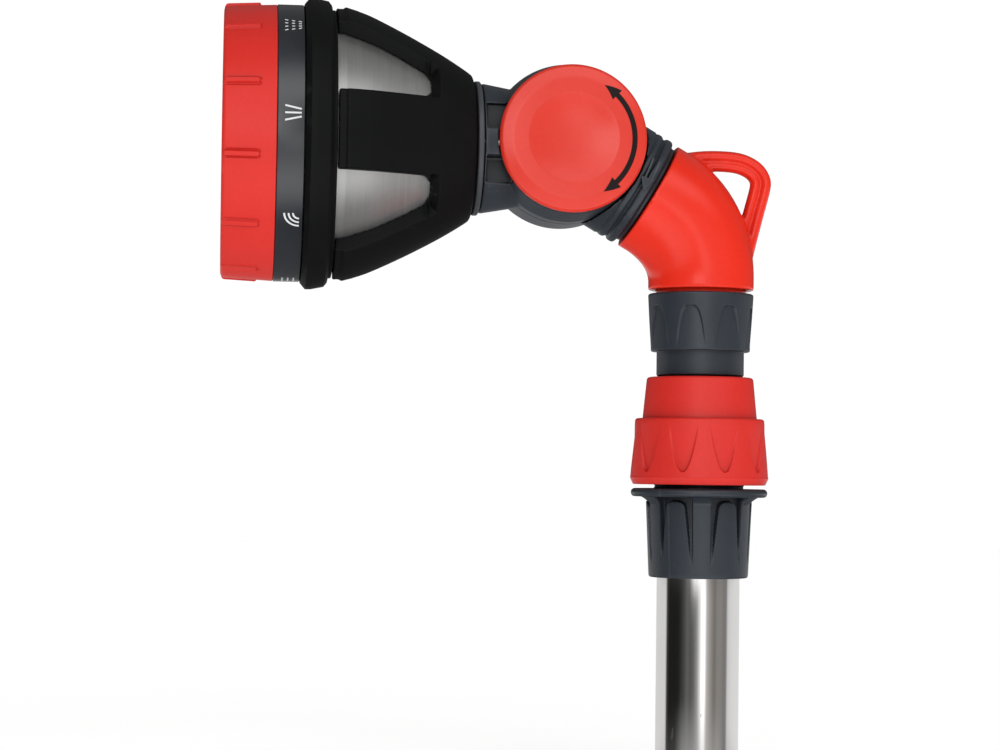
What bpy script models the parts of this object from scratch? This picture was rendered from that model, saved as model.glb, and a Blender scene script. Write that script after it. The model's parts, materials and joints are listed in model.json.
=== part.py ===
"""Spray head of a garden watering lance: tilting pattern head, two-disc knuckle,
swivelling elbow with a hang loop, adaptor, quick coupler, clamp nut and the end
of the lance tube.

Frame: +Z runs up the tube, the head points to -X, Y is across the object.
"Front" in the knuckle's piece names is the -Y side, "rear" the +Y side.
The origin is the middle of the bounding box, on its lower face.
Sizes are millimetres; MM turns them into metres.
"""

import math

import bmesh
import bpy
from mathutils import Matrix, Vector

for old in list(bpy.data.objects):
    bpy.data.objects.remove(old, do_unlink=True)
for old in list(bpy.data.collections):
    bpy.data.collections.remove(old)

# --------------------------------------------------------- shared dimensions
MM = 0.001
GAP = 0.3                    # space between neighbouring parts

# Axes
TUBE_AXIS_X = 59.73          # tube axis, from the middle of the bounding box
KNUCKLE_X, KNUCKLE_Z = 19.43, 184.8   # pivot of the knuckle
HEAD_DROP = 1.5              # the head axis runs a little below the pivot
NECK_TILT = 30.0             # degrees the neck runs down towards the tube

# Knuckle discs, as heights along the pivot axis
DRUM_R, DRUM_HALF, SEAM = 22.8, 16.4, 0.15
DRUM_OVERLAP = 1.5           # a disc is built this far past the middle, then trimmed
DRUM_CLEAR_R = DRUM_R + GAP
CAP_R, CAP_SEAT = 21.1, DRUM_HALF + GAP
CAP_RECESS_R = CAP_R + 0.4
CAP_RECESS = DRUM_HALF + 0.06
PIVOT_TUBE_R, PIVOT_TUBE_WALL = 9.0, 1.9
PIVOT_BORE_R, PIVOT_BORE_HALF = PIVOT_TUBE_R + 0.4, 12.4
SIDE_BORE_R, SIDE_BORE_AT = 4.2, (0.0, -8.3)
BEYOND = 30.0                # end of a cut that runs out past the knuckle

# Segments round the turned pieces
N_SEAT, N_HEAD, N_TUBE, N_ELBOW, N_SEAL = 36, 28, 24, 22, 20
N_SMALL, N_BORE, N_TINY = 16, 14, 10

# --------------------------------------------------------------- collections
parts = bpy.data.collections.new("watering_lance_head")
cutters = bpy.data.collections.new("cutters")
bpy.context.scene.collection.children.link(parts)
bpy.context.scene.collection.children.link(cutters)

# ----------------------------------------------------------------- materials
# look: (base colour, roughness, metallic)
LOOKS = {
    "chrome": ((0.72, 0.72, 0.72), 0.12, 1.0),
    "dark": ((0.051, 0.060, 0.070), 0.42, 0.0),
    "light_grey": ((0.28, 0.29, 0.30), 0.45, 0.0),
    "red": ((0.78, 0.055, 0.036), 0.38, 0.0),
    "orange_red": ((0.90, 0.055, 0.030), 0.28, 0.0),
    "black": ((0.009, 0.009, 0.010), 0.62, 0.0),
    "silver": ((0.33, 0.34, 0.34), 0.34, 0.9),
    "rubber": ((0.02, 0.02, 0.02), 0.8, 0.0),
    "steel": ((0.55, 0.55, 0.55), 0.3, 1.0),
}


def material(name, look):
    """Material of one piece, named after the piece."""
    colour, roughness, metallic = LOOKS[look]
    made = bpy.data.materials.new(name)
    made.use_nodes = True
    shader = made.node_tree.nodes["Principled BSDF"]
    shader.inputs["Base Color"].default_value = (*colour, 1.0)
    shader.inputs["Roughness"].default_value = roughness
    shader.inputs["Metallic"].default_value = metallic
    return made


# -------------------------------------------------------------------- frames
def placed(x, z, axis_z, axis_x):
    """World matrix of a frame whose local Z and X point along the given ways."""
    local_z, local_x = Vector(axis_z).normalized(), Vector(axis_x).normalized()
    local_y = local_z.cross(local_x)
    matrix = Matrix((local_x, local_y, local_z)).transposed().to_4x4()
    matrix.translation = Vector((x * MM, 0.0, z * MM))
    return matrix


def spin_about_z(degrees):
    return Matrix.Rotation(math.radians(degrees), 4, "Z")


def shift(x, y, z=0.0):
    return Matrix.Translation((x * MM, y * MM, z * MM))


NECK_COS, NECK_SIN = math.cos(math.radians(NECK_TILT)), math.sin(math.radians(NECK_TILT))
AT_TUBE = placed(TUBE_AXIS_X, 0.0, (0, 0, 1), (1, 0, 0))
AT_NECK = placed(KNUCKLE_X, KNUCKLE_Z, (NECK_COS, 0, -NECK_SIN), (NECK_SIN, 0, NECK_COS))
AT_HEAD = placed(KNUCKLE_X, KNUCKLE_Z - HEAD_DROP, (-1, 0, 0), (0, 0, 1))
AT_PIVOT = placed(KNUCKLE_X, KNUCKLE_Z, (0, -1, 0), (1, 0, 0))

world_of = {}                # world matrix of each empty, by name


def empty(name, matrix, parent=None):
    """Empty at a world matrix, under its parent."""
    axis = bpy.data.objects.new(name, None)
    axis.empty_display_size = 0.01
    parts.objects.link(axis)
    if parent is None:
        axis.matrix_basis = matrix
    else:
        axis.parent = parent
        axis.matrix_basis = world_of[parent.name].inverted() @ matrix
    world_of[name] = matrix
    return axis


lance = empty("lance_axis", AT_TUBE)
sleeve_axis = empty("sleeve_axis", AT_TUBE, lance)
nut_axis = empty("nut_axis", AT_TUBE, lance)
elbow_axis = empty("elbow_axis", AT_TUBE, lance)
neck_axis = empty("neck_axis", AT_NECK, elbow_axis)
neck_pivot = empty("neck_pivot", AT_PIVOT, neck_axis)
head_pivot = empty("head_pivot", AT_PIVOT, neck_pivot)
head_axis = empty("head_axis", AT_HEAD, head_pivot)
dial_axis = empty("dial_axis", AT_HEAD, head_axis)


# ------------------------------------------------------------------- helpers
def add(name, data, frame, look=None, local=None):
    """Puts a shape in its frame; without a look it is a cutter."""
    piece = bpy.data.objects.new(name, data)
    if look is None:
        cutters.objects.link(piece)
        piece.hide_render = True
        piece.display_type = "WIRE"
    else:
        parts.objects.link(piece)
        data.materials.append(material(name, look))
    piece.parent = frame
    if local is not None:
        piece.matrix_basis = local
    return piece


def finished(draft, name):
    """Mesh holding the draft, which is freed."""
    mesh = bpy.data.meshes.new(name)
    draft.to_mesh(mesh)
    draft.free()
    return mesh


def turned(name, profile, segments, frame, look=None, local=None):
    """Profile of (radius, height) points down the outer side, spun about local Z.

    A profile that starts on the axis also ends there and is left open.
    """
    draft = bmesh.new()
    verts = [draft.verts.new((radius * MM, 0.0, height * MM)) for radius, height in profile]
    for start, end in zip(verts, verts[1:]):
        draft.edges.new((start, end))
    if profile[0][0] > 0.0:
        draft.edges.new((verts[-1], verts[0]))
    piece = add(name, finished(draft, name), frame, look, local)
    screw = piece.modifiers.new("turn", "SCREW")
    screw.axis = "Z"
    screw.angle = 2 * math.pi
    screw.screw_offset = 0.0
    screw.steps = screw.render_steps = segments
    screw.use_merge_vertices = True
    screw.merge_threshold = 0.00001
    screw.use_smooth_shade = True
    return piece


def rod(name, radius, low, high, frame, segments, at=(0.0, 0.0)):
    """Cylindrical cutter along local Z, from low to high, centred on at."""
    draft = bmesh.new()
    bmesh.ops.create_cone(
        draft, cap_ends=True, segments=segments, radius1=radius * MM,
        radius2=radius * MM, depth=(high - low) * MM,
        matrix=shift(*at, (low + high) / 2),
    )
    return add(name, finished(draft, name), frame)


def block(name, low, high, frame, look=None, local=None):
    """Box between two opposite corners."""
    draft = bmesh.new()
    bmesh.ops.create_cube(draft, size=1.0)
    for vert in draft.verts:
        for i in range(3):
            vert.co[i] = (high[i] if vert.co[i] > 0 else low[i]) * MM
    return add(name, finished(draft, name), frame, look, local)


def boolean(piece, other, operation="DIFFERENCE"):
    modifier = piece.modifiers.new(operation.lower() + "_" + other.name, "BOOLEAN")
    modifier.operation = operation
    modifier.solver = "EXACT"
    modifier.object = other


def o_ring(name, centre_r, centre_height, wire_r, frame, segments=N_SMALL, sides=5):
    angles = (2 * math.pi * i / sides for i in range(sides))
    section = [(centre_r + wire_r * math.cos(angle), centre_height - wire_r * math.sin(angle))
               for angle in angles]
    turned(name, section, segments, frame, "rubber")


def poly_curve(name, points, dimensions="3D"):
    """Curve with one straight-sided spline through (x, y, z) points."""
    curve = bpy.data.curves.new(name, "CURVE")
    curve.dimensions = dimensions
    spline = curve.splines.new("POLY")
    spline.points.add(len(points) - 1)
    for point, (x, y, z) in zip(spline.points, points):
        point.co = (x * MM, y * MM, z * MM, 1.0)
    return curve


def coil(name, radius, wire_r, low, high, turns, per_turn, frame, at=(0.0, 0.0)):
    """Compression spring along local Z, with per_turn points to a turn."""
    first, last = low + wire_r, high - wire_r
    steps = int(turns * per_turn)
    points = []
    for i in range(steps + 1):
        angle = 2 * math.pi * i / per_turn
        points.append((at[0] + radius * math.cos(angle), at[1] + radius * math.sin(angle),
                       first + (last - first) * i / steps))
    curve = poly_curve(name, points)
    curve.bevel_depth = wire_r * MM
    curve.bevel_resolution = 1
    curve.use_fill_caps = True
    add(name, curve, frame, "steel")


def closed_mesh(name, curve):
    """The curve's surface as a welded mesh with its normals outwards."""
    guide = bpy.data.objects.new(curve.name, curve)
    bpy.context.scene.collection.objects.link(guide)
    mesh = bpy.data.meshes.new_from_object(
        guide.evaluated_get(bpy.context.evaluated_depsgraph_get()))
    draft = bmesh.new()
    draft.from_mesh(mesh)
    bmesh.ops.remove_doubles(draft, verts=draft.verts, dist=0.00001)
    bmesh.ops.recalc_face_normals(draft, faces=draft.faces)
    draft.to_mesh(mesh)
    draft.free()
    mesh.name = name
    bpy.data.objects.remove(guide, do_unlink=True)
    return mesh


def swept(name, path, radii, sides, frame, look=None):
    """Tube through (x, z) points with a radius at each."""
    curve = poly_curve(name + "_path", [(x, 0.0, z) for x, z in path])
    curve.bevel_depth = MM   # the point radii multiply this
    curve.bevel_resolution = (sides - 4) // 2
    curve.use_fill_caps = True
    for point, radius in zip(curve.splines[0].points, radii):
        point.radius = radius
    piece = add(name, closed_mesh(name, curve), frame, look)
    piece.data.shade_smooth()
    return piece


# ============================================================ lance and coupler
TUBE_R, TUBE_WALL, TUBE_TOP = 12.0, 1.1, 91.4
TUBE_FIT_R = TUBE_R + 0.25   # bore of the pieces the tube slides into
SPIGOT_R, SOCKET_R = 13.3, 12.4
GRIP_BOTTOM, GRIP_TOP, GRIP_R = 86.8, 106.0, 20.0
SLEEVE_BOTTOM, SLEEVE_TOP = 101.0, 118.0
NUT_BOTTOM, NUT_TOP, NUT_FLANGE_R, NUT_BORE_R = 60.0, 85.7, 19.8, 13.6

JAW_BOTTOM, JAW_TOP, JAW_WIDTH = 106.5, 108.5, 4.4
JAW_INNER, JAW_OUTER = 8.0, 12.95   # distances from the tube axis, at the jaw's bottom
JAW_ANGLES = (90, 210, 330)
JAW_SLOPE = 1.0 / 3.0        # 3 mm of sleeve travel frees 1 mm of jaw travel
CONE_TOP = 111.6             # top of the cone inside the sleeve
CONE_TOP_R = JAW_OUTER + 0.5 + (CONE_TOP - JAW_BOTTOM) * JAW_SLOPE

turned("lance_tube", [
    (TUBE_R, TUBE_TOP), (TUBE_R, 0.0),
    (TUBE_R - TUBE_WALL, 0.0), (TUBE_R - TUBE_WALL, TUBE_TOP),
], N_TUBE, lance, "chrome")

# Body round the tube end, with a window for each jaw
coupler_body = turned("coupler_body", [
    (SOCKET_R, 117.4), (SOCKET_R, 93.0), (17.5, 93.0), (17.5, 87.1),
    (SPIGOT_R, 87.1), (SPIGOT_R, 68.0), (TUBE_FIT_R, 68.0),
    (TUBE_FIT_R, 88.5), (14.1, 88.5), (14.1, 90.7), (TUBE_FIT_R, 90.7),
    (TUBE_FIT_R, 91.9), (9.3, 91.9), (9.3, 116.4), (10.2, 117.4),
], N_TUBE, lance, "dark")
for i, degrees in enumerate(JAW_ANGLES, 1):
    boolean(coupler_body, block(
        f"jaw_window_{i}", (6.0, -JAW_WIDTH / 2 - GAP, JAW_BOTTOM - GAP),
        (14.5, JAW_WIDTH / 2 + GAP, JAW_TOP + GAP), lance, local=spin_about_z(degrees)))

turned("coupler_grip", [
    (16.95, GRIP_TOP), (18.2, GRIP_TOP), (18.75, 105.4), (GRIP_R, 88.8),
    (19.2, GRIP_BOTTOM), (17.8, GRIP_BOTTOM), (17.8, 104.6), (16.95, 104.6),
], N_TUBE, lance, "red")

o_ring("tube_seal", 13.05, 89.6, 0.85, lance, N_TUBE)
coil("sleeve_spring", radius=14.9, wire_r=0.55, low=93.3, high=100.7,
     turns=3.0, per_turn=11, frame=lance)

# Sliding sleeve with the cone that bears on the jaws
turned("release_sleeve", [
    (14.9, SLEEVE_TOP), (15.4, 117.5), (16.6, 106.0), (16.6, SLEEVE_BOTTOM),
    (12.75, SLEEVE_BOTTOM), (12.75, 104.4), (CONE_TOP_R, CONE_TOP),
    (12.8, 112.4), (12.8, SLEEVE_TOP),
], N_TUBE, sleeve_axis, "red")

# Jaws, each on a slide of its own whose local X points outwards
for i, degrees in enumerate(JAW_ANGLES, 1):
    slide = empty(f"jaw_slide_{i}", AT_TUBE @ spin_about_z(degrees), lance)
    jaw = block(f"locking_jaw_{i}", (JAW_INNER, -JAW_WIDTH / 2, JAW_BOTTOM),
                (JAW_OUTER, JAW_WIDTH / 2, JAW_TOP), slide, "light_grey")
    for vert in jaw.data.vertices:   # outer face follows the sleeve's cone
        if vert.co.x > 10 * MM and vert.co.z > (JAW_BOTTOM + 0.5) * MM:
            vert.co.x += (JAW_TOP - JAW_BOTTOM) * JAW_SLOPE * MM

# Slit ring inside the clamp nut
collet_ring = turned("collet_ring", [
    (12.9, 67.4), (13.3, 66.6), (13.3, 62.0), (TUBE_FIT_R, 62.0), (TUBE_FIT_R, 67.4),
], 22, nut_axis, "light_grey")
boolean(collet_ring, block("collet_slit", (10.0, -0.8, 60.0), (15.0, 0.8, 69.0), nut_axis))

turned("clamp_nut", [
    (19.2, NUT_TOP), (NUT_FLANGE_R, 85.1), (NUT_FLANGE_R, 83.9), (19.2, 83.3),
    (16.8, 82.0), (15.5, 79.8), (15.2, 78.0), (14.5, 61.0), (13.9, NUT_BOTTOM),
    (12.4, NUT_BOTTOM), (12.4, 61.6), (NUT_BORE_R, 61.6), (NUT_BORE_R, NUT_TOP),
], N_TUBE, nut_axis, "dark")

# =================================================================== adaptor
NIPPLE_R, NIPPLE_BORE_R = 8.9, 5.8
COLLAR_BOTTOM, COLLAR_TOP, COLLAR_R = 125.5, 142.3, 15.35

# Collar at the top, nipple with two grooves below it
turned("adaptor_nipple", [
    (14.9, COLLAR_TOP), (COLLAR_R, 141.8), (14.4, 125.9), (14.0, COLLAR_BOTTOM),
    (12.7, COLLAR_BOTTOM), (12.7, 118.8), (12.2, 118.3), (NIPPLE_R, 118.3),
    (NIPPLE_R, 109.4), (7.5, 109.2), (7.5, 105.8), (NIPPLE_R, 105.6),
    (NIPPLE_R, 100.2), (7.3, 100.2), (7.3, 97.4), (NIPPLE_R, 97.4),
    (8.0, 95.0), (NIPPLE_BORE_R, 95.0), (NIPPLE_BORE_R, 126.4),
    (13.25, 126.4), (13.25, COLLAR_TOP),
], N_ELBOW, elbow_axis, "dark")
turned("adaptor_flat_seal", [
    (12.9, 128.4), (12.9, 126.7), (8.2, 126.7), (8.2, 128.4),
], N_SMALL, elbow_axis, "rubber")
o_ring("nipple_o_ring", 8.3, 98.8, 0.75, elbow_axis)

# ===================================================================== elbow
ELBOW_BOTTOM = 143.4
ELBOW_R0, ELBOW_R1 = 15.35, 16.75   # outer radius at the tube end and the neck end
ELBOW_BEND_R = 26.5
ELBOW_BORE_R = 10.2
ELBOW_END = 28.1             # distance from the pivot along the neck axis
NECK_END = 40.6
NECK_SPIGOT_R = 12.0
NECK_SOCKET_R, NECK_SOCKET_END = NECK_SPIGOT_R + 0.35, NECK_END + 1.0
LOOP_R = 2.9

# Axes of tube and neck meet above the elbow's lower end; the arc is tangent to both.
MEET_DISTANCE = (TUBE_AXIS_X - KNUCKLE_X) / NECK_COS   # from the pivot
MEET_Z = KNUCKLE_Z - MEET_DISTANCE * NECK_SIN
BEND = math.radians(90.0 - NECK_TILT)
TANGENT = ELBOW_BEND_R * math.tan(BEND / 2)
ARC_X, ARC_Z = -ELBOW_BEND_R, MEET_Z - TANGENT         # centre of the arc


def neck_point(distance):
    """(x from the tube axis, z) at a distance from the pivot on the neck axis."""
    return (KNUCKLE_X - TUBE_AXIS_X + distance * NECK_COS, KNUCKLE_Z - distance * NECK_SIN)


def elbow_path(bottom, end_distance, steps=8):
    """Middle line from a height on the tube axis to a distance on the neck axis."""
    points = [(0.0, bottom), (0.0, ARC_Z)]
    for i in range(1, steps):
        angle = BEND * i / steps
        points.append((ARC_X + ELBOW_BEND_R * math.cos(angle),
                       ARC_Z + ELBOW_BEND_R * math.sin(angle)))
    points.append(neck_point(MEET_DISTANCE - TANGENT))
    points.append(neck_point(end_distance))
    return points


def elbow_radius(share):
    """Outer radius at a share of the path's points; it stops growing at 0.8."""
    ease = 0.5 - 0.5 * math.cos(math.pi * min(1.0, share * 1.25))
    return ELBOW_R0 + (ELBOW_R1 - ELBOW_R0) * ease


# Middle line of the hang loop: (x from the tube axis, z)
LOOP = [
    (-7.0, 180.4), (0.0, 181.2), (6.5, 181.3), (11.4, 180.7), (15.4, 178.9),
    (17.2, 176.3), (17.3, 173.6), (15.3, 166.0), (13.4, 158.5), (11.6, 152.0),
]

path = elbow_path(ELBOW_BOTTOM, ELBOW_END)
elbow = swept("elbow_pipe", path, [elbow_radius(i / (len(path) - 1)) for i in range(len(path))],
              N_ELBOW, elbow_axis, "orange_red")
boolean(elbow, swept("hang_loop", LOOP, [LOOP_R] * len(LOOP), 8, elbow_axis), "UNION")
boolean(elbow, rod("elbow_thread", 12.95, 128.7, 147.0, elbow_axis, 18), "UNION")
bore = elbow_path(120.0, ELBOW_END - 6.0, 6)
boolean(elbow, swept("elbow_bore", bore, [ELBOW_BORE_R] * len(bore), 16, elbow_axis))
boolean(elbow, rod("elbow_socket", NECK_SOCKET_R, 26.0, NECK_SOCKET_END, neck_axis, N_SEAL))

# ====================================================================== neck
NECK_R = 16.9

# Neck with the grooved spigot that turns in the elbow, joined to the rear disc
rear_knuckle = turned("rear_knuckle", [
    (0.0, NECK_END), (10.6, NECK_END), (10.6, 38.0), (NECK_SPIGOT_R, 38.0),
    (NECK_SPIGOT_R, 36.1), (10.5, 36.1), (10.5, 34.3), (NECK_SPIGOT_R, 34.3),
    (NECK_SPIGOT_R, 32.1), (10.5, 32.1), (10.5, 30.3), (NECK_SPIGOT_R, 30.3),
    (NECK_SPIGOT_R, 27.8), (15.3, 27.8), (15.3, 26.4), (16.6, 26.1), (NECK_R, 25.4),
    (16.6, 24.0), (15.7, 23.7), (16.6, 22.9), (NECK_R, 22.0), (NECK_R, 4.0), (0.0, 4.0),
], N_ELBOW, neck_axis, "dark")
boolean(rear_knuckle, turned("rear_drum", [
    (0.0, DRUM_OVERLAP), (DRUM_R, DRUM_OVERLAP), (DRUM_R, -15.6), (22.0, -DRUM_HALF),
    (0.0, -DRUM_HALF),
], N_HEAD, neck_pivot), "UNION")
boolean(rear_knuckle, rod("front_disc_space", DRUM_CLEAR_R, -SEAM, BEYOND, neck_pivot, N_HEAD))
boolean(rear_knuckle, rod("rear_cap_seat", CAP_RECESS_R, -BEYOND, -CAP_RECESS, neck_pivot, N_SEAT))
boolean(rear_knuckle, rod("rear_pivot_bore", PIVOT_BORE_R, -PIVOT_BORE_HALF, 5.0,
                          neck_pivot, N_SMALL))
boolean(rear_knuckle, turned("rear_screw_hole", [
    (0.0, -8.0), (2.4, -8.0), (2.4, -13.9), (4.7, -13.9), (4.7, -20.0), (0.0, -20.0),
], N_BORE, neck_pivot))
boolean(rear_knuckle, rod("neck_side_bore", SIDE_BORE_R, 2.0, 27.0, neck_axis, N_BORE,
                          SIDE_BORE_AT))
boolean(rear_knuckle, rod("neck_bore", 8.5, 25.6, 45.0, neck_axis, N_SMALL))

# Seals in the spigot's grooves, and the open clip at its end
for i, height in enumerate((31.2, 35.2), 1):
    o_ring(f"swivel_o_ring_{i}", 11.4, height, 0.65, neck_axis, N_SEAL)
clip = turned("swivel_clip", [(12.1, 39.6), (12.1, 38.4), (10.8, 38.4), (10.8, 39.6)],
              N_SEAL, neck_axis, "steel")
boolean(clip, block("clip_gap", (8.0, -2.5, 37.0), (14.0, 2.5, 41.0), neck_axis))

# Tube joining the two discs, with a grooved seal in each
PIVOT_TUBE_HALF, PIVOT_GROOVE_R = 6.4, 7.9
PIVOT_GROOVE_IN, PIVOT_GROOVE_OUT = 3.0, 4.7   # groove edges, from the middle
PIVOT_SEAL_HEIGHT = (PIVOT_GROOVE_IN + PIVOT_GROOVE_OUT) / 2
turned("pivot_tube", [
    (PIVOT_TUBE_R, PIVOT_TUBE_HALF), (PIVOT_TUBE_R, PIVOT_GROOVE_OUT),
    (PIVOT_GROOVE_R, PIVOT_GROOVE_OUT), (PIVOT_GROOVE_R, PIVOT_GROOVE_IN),
    (PIVOT_TUBE_R, PIVOT_GROOVE_IN), (PIVOT_TUBE_R, -PIVOT_GROOVE_IN),
    (PIVOT_GROOVE_R, -PIVOT_GROOVE_IN), (PIVOT_GROOVE_R, -PIVOT_GROOVE_OUT),
    (PIVOT_TUBE_R, -PIVOT_GROOVE_OUT), (PIVOT_TUBE_R, -PIVOT_TUBE_HALF),
    (PIVOT_TUBE_R - PIVOT_TUBE_WALL, -PIVOT_TUBE_HALF),
    (PIVOT_TUBE_R - PIVOT_TUBE_WALL, PIVOT_TUBE_HALF),
], N_SMALL, neck_pivot, "light_grey")
o_ring("pivot_o_ring_front", 8.58, PIVOT_SEAL_HEIGHT, 0.55, neck_pivot)
o_ring("pivot_o_ring_rear", 8.58, -PIVOT_SEAL_HEIGHT, 0.55, neck_pivot)
turned("pivot_washer", [(4.4, -14.1), (4.4, -14.7), (2.5, -14.7), (2.5, -14.1)],
       N_SMALL, neck_pivot, "steel")

turned("rear_cap", [
    (0.0, -CAP_SEAT), (CAP_R, -CAP_SEAT), (CAP_R, -17.8), (20.5, -18.4),
    (16.0, -19.1), (12.4, -19.3), (0.0, -18.7),
], N_HEAD, neck_pivot, "red")

# ============================================================= front knuckle
# From here on, heights in head_axis and dial_axis run forward from the pivot, to -X.
CONNECTOR_END = 25.2
SCREWS = ((16.6, 0.0), (-16.6, 0.0), (0.0, -15.6))   # (x, y) of the head screws


def drill_screw_holes(piece, prefix, radius, low, high):
    for i, at in enumerate(SCREWS, 1):
        boolean(piece, rod(f"{prefix}_{i}", radius, low, high, head_axis, N_TINY, at))


# Connector to the head, joined to the front disc
front_knuckle = turned("front_knuckle", [
    (0.0, CONNECTOR_END), (18.6, CONNECTOR_END), (18.7, 24.4), (16.5, 12.0), (16.3, 5.0),
    (0.0, 5.0),
], N_HEAD, head_axis, "dark")
boolean(front_knuckle, turned("front_drum", [
    (0.0, DRUM_HALF), (21.2, DRUM_HALF), (DRUM_R, 6.0), (DRUM_R, -DRUM_OVERLAP),
    (0.0, -DRUM_OVERLAP),
], N_HEAD, head_pivot), "UNION")
boolean(front_knuckle, rod("rear_disc_space", DRUM_CLEAR_R, -BEYOND, SEAM, head_pivot, N_HEAD))
boolean(front_knuckle, rod("front_cap_seat", CAP_RECESS_R, CAP_RECESS, BEYOND, head_pivot, N_SEAT))
# Ring-shaped bore that leaves a boss for the pivot screw
boolean(front_knuckle, turned("front_pivot_bore", [
    (PIVOT_BORE_R, PIVOT_BORE_HALF), (PIVOT_BORE_R, -5.0), (4.2, -5.0), (4.2, PIVOT_BORE_HALF),
], N_SMALL, head_pivot))
boolean(front_knuckle, rod("boss_top", 6.0, -5.0, 2.0, head_pivot, N_TINY))
boolean(front_knuckle, rod("screw_pilot", 2.35, -5.0, 10.0, head_pivot, N_TINY))
boolean(front_knuckle, rod("head_side_bore", SIDE_BORE_R, 7.0, 30.0, head_axis, N_BORE,
                           SIDE_BORE_AT))
for i, (low_x, high_x) in enumerate(((3.8, 11.4), (-11.4, -3.8)), 1):
    boolean(front_knuckle, block(f"connector_pocket_{i}", (low_x, -25.0, 17.5),
                                 (high_x, -13.2, 23.8), head_axis))
drill_screw_holes(front_knuckle, "pilot", 1.4, 19.9, 30.0)

turned("front_cap", [
    (0.0, 18.55), (8.0, 18.8), (12.4, 19.45), (16.5, 19.35), (20.4, 18.5),
    (CAP_R, 17.9), (CAP_R, CAP_SEAT), (0.0, CAP_SEAT),
], N_HEAD, head_pivot, "red")
turned("pivot_screw", [
    (0.0, 9.0), (2.0, 8.4), (2.0, -15.0), (4.2, -15.0), (4.2, -16.2), (0.0, -16.2),
], N_TINY, head_pivot, "steel")

# ====================================================================== head
CORE_REAR, CORE_FRONT = CONNECTOR_END + GAP, 66.5
FLANGE_R = 19.4
CAGE_FRONT = 67.3
WINDOW_REAR, WINDOW_DEPTH = 41.4, 40.0
WEB_WIDTH, WINDOWS = 22.0, 5
SHROUD_WALL = 1.0
BUMPER_R, BUMPER_FRONT = 41.7, 76.4
SEAL_OFFSET, DETENT_OFFSET = 19.0, 27.0
SEAL_AT, DETENT_AT = (-SEAL_OFFSET, 0.0), (DETENT_OFFSET, 0.0)

# Valve core: rear flange, feed tube, cone and the plate the pattern disc turns on.
head_core = turned("head_core", [
    (32.8, CORE_FRONT), (32.8, 63.4), (12.5, 55.5), (11.9, 50.0), (11.9, 27.2),
    (FLANGE_R, 27.2), (FLANGE_R, CORE_REAR), (14.5, CORE_REAR), (14.5, 26.7), (12.7, 26.7),
    (12.7, CORE_REAR), (12.2, CORE_REAR), (8.5, 29.5), (8.5, 50.0), (10.5, 57.0),
    (29.0, 63.8), (3.8, 63.8), (3.8, 57.0), (1.85, 57.0), (1.85, CORE_FRONT),
], N_TUBE, head_axis, "light_grey")
# name, radius, rear, front, segments, centre, operation
for name, radius, rear, front, segments, at, operation in (
    ("seal_boss", 6.2, 58.4, CORE_FRONT, N_BORE, SEAL_AT, "UNION"),
    ("detent_boss", 3.9, 57.6, CORE_FRONT, 12, DETENT_AT, "UNION"),
    ("seal_pocket", 4.6, 60.2, 70.0, N_BORE, SEAL_AT, "DIFFERENCE"),
    ("seal_port", 3.0, 54.0, 61.0, 12, SEAL_AT, "DIFFERENCE"),
    ("detent_pocket", 2.6, 59.0, 70.0, 12, DETENT_AT, "DIFFERENCE"),
):
    boolean(head_core, rod(name, radius, rear, front, head_axis, segments, at), operation)
drill_screw_holes(head_core, "core_hole", 1.5, 22.0, 30.0)
o_ring("core_o_ring", 13.6, 26.05, 0.5, head_axis)

# Cage outlines, front to rear outside and rear to front inside: (radius, height)
CAGE_OUTER = [
    (39.2, CAGE_FRONT), (39.7, 66.8), (39.4, 64.6), (36.7, 56.7), (32.7, 48.3),
    (28.3, 39.9), (25.1, 34.3), (21.5, 28.7), (20.4, 27.9), (19.1, 27.4),
]
CAGE_INNER = [
    (12.3, 27.4), (12.3, 30.2), (19.0, 30.2), (19.7, 33.0), (24.1, 39.9), (28.5, 48.3),
    (32.5, 56.7), (35.5, 65.6), (35.5, CAGE_FRONT),
]


def cage_window(name, degrees):
    """Space between two webs of constant width, as a wedge along the head axis."""
    half = math.pi / WINDOWS
    tip = WEB_WIDTH / 2 / math.sin(half)
    reach = 60.0
    side_x, side_y = tip + reach * math.cos(half), reach * math.sin(half)
    curve = poly_curve(name + "_outline",
                       [(tip, 0.0, 0.0), (side_x, -side_y, 0.0), (side_x, side_y, 0.0)], "2D")
    curve.fill_mode = "BOTH"
    curve.extrude = WINDOW_DEPTH / 2 * MM
    curve.splines[0].use_cyclic_u = True
    local = spin_about_z(degrees) @ shift(0.0, 0.0, WINDOW_REAR + WINDOW_DEPTH / 2)
    return add(name, closed_mesh(name, curve), head_axis, local=local)


# A web lies on the -Y side, at local -90 degrees, so windows start half a pitch off.
grip_cage = turned("grip_cage", CAGE_OUTER + CAGE_INNER, N_HEAD, head_axis, "black")
for i in range(WINDOWS):
    boolean(grip_cage, cage_window(f"window_{i + 1}", -90 + (i + 0.5) * 360 / WINDOWS))
drill_screw_holes(grip_cage, "cage_hole", 1.5, 22.0, 31.0)

for i, at in enumerate(SCREWS, 1):
    turned(f"head_screw_{i}", [
        (0.0, 31.8), (1.2, 31.8), (2.0, 31.4), (2.0, 30.5), (1.1, 30.5), (1.1, 20.6), (0.0, 20.2),
    ], N_TINY, head_axis, "steel", shift(*at))

# Outer side of the thin shroud inside the cage: (radius, height)
SHROUD = [(35.2, 76.2), (35.2, 65.6), (32.2, 56.7), (28.2, 48.3), (23.8, 39.9), (22.6, 38.0)]
turned("metal_shroud", SHROUD + [(21.6, 38.2)] + [
    (radius - SHROUD_WALL, height) for radius, height in reversed(SHROUD[:-1])
], N_HEAD, head_axis, "silver")

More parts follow.
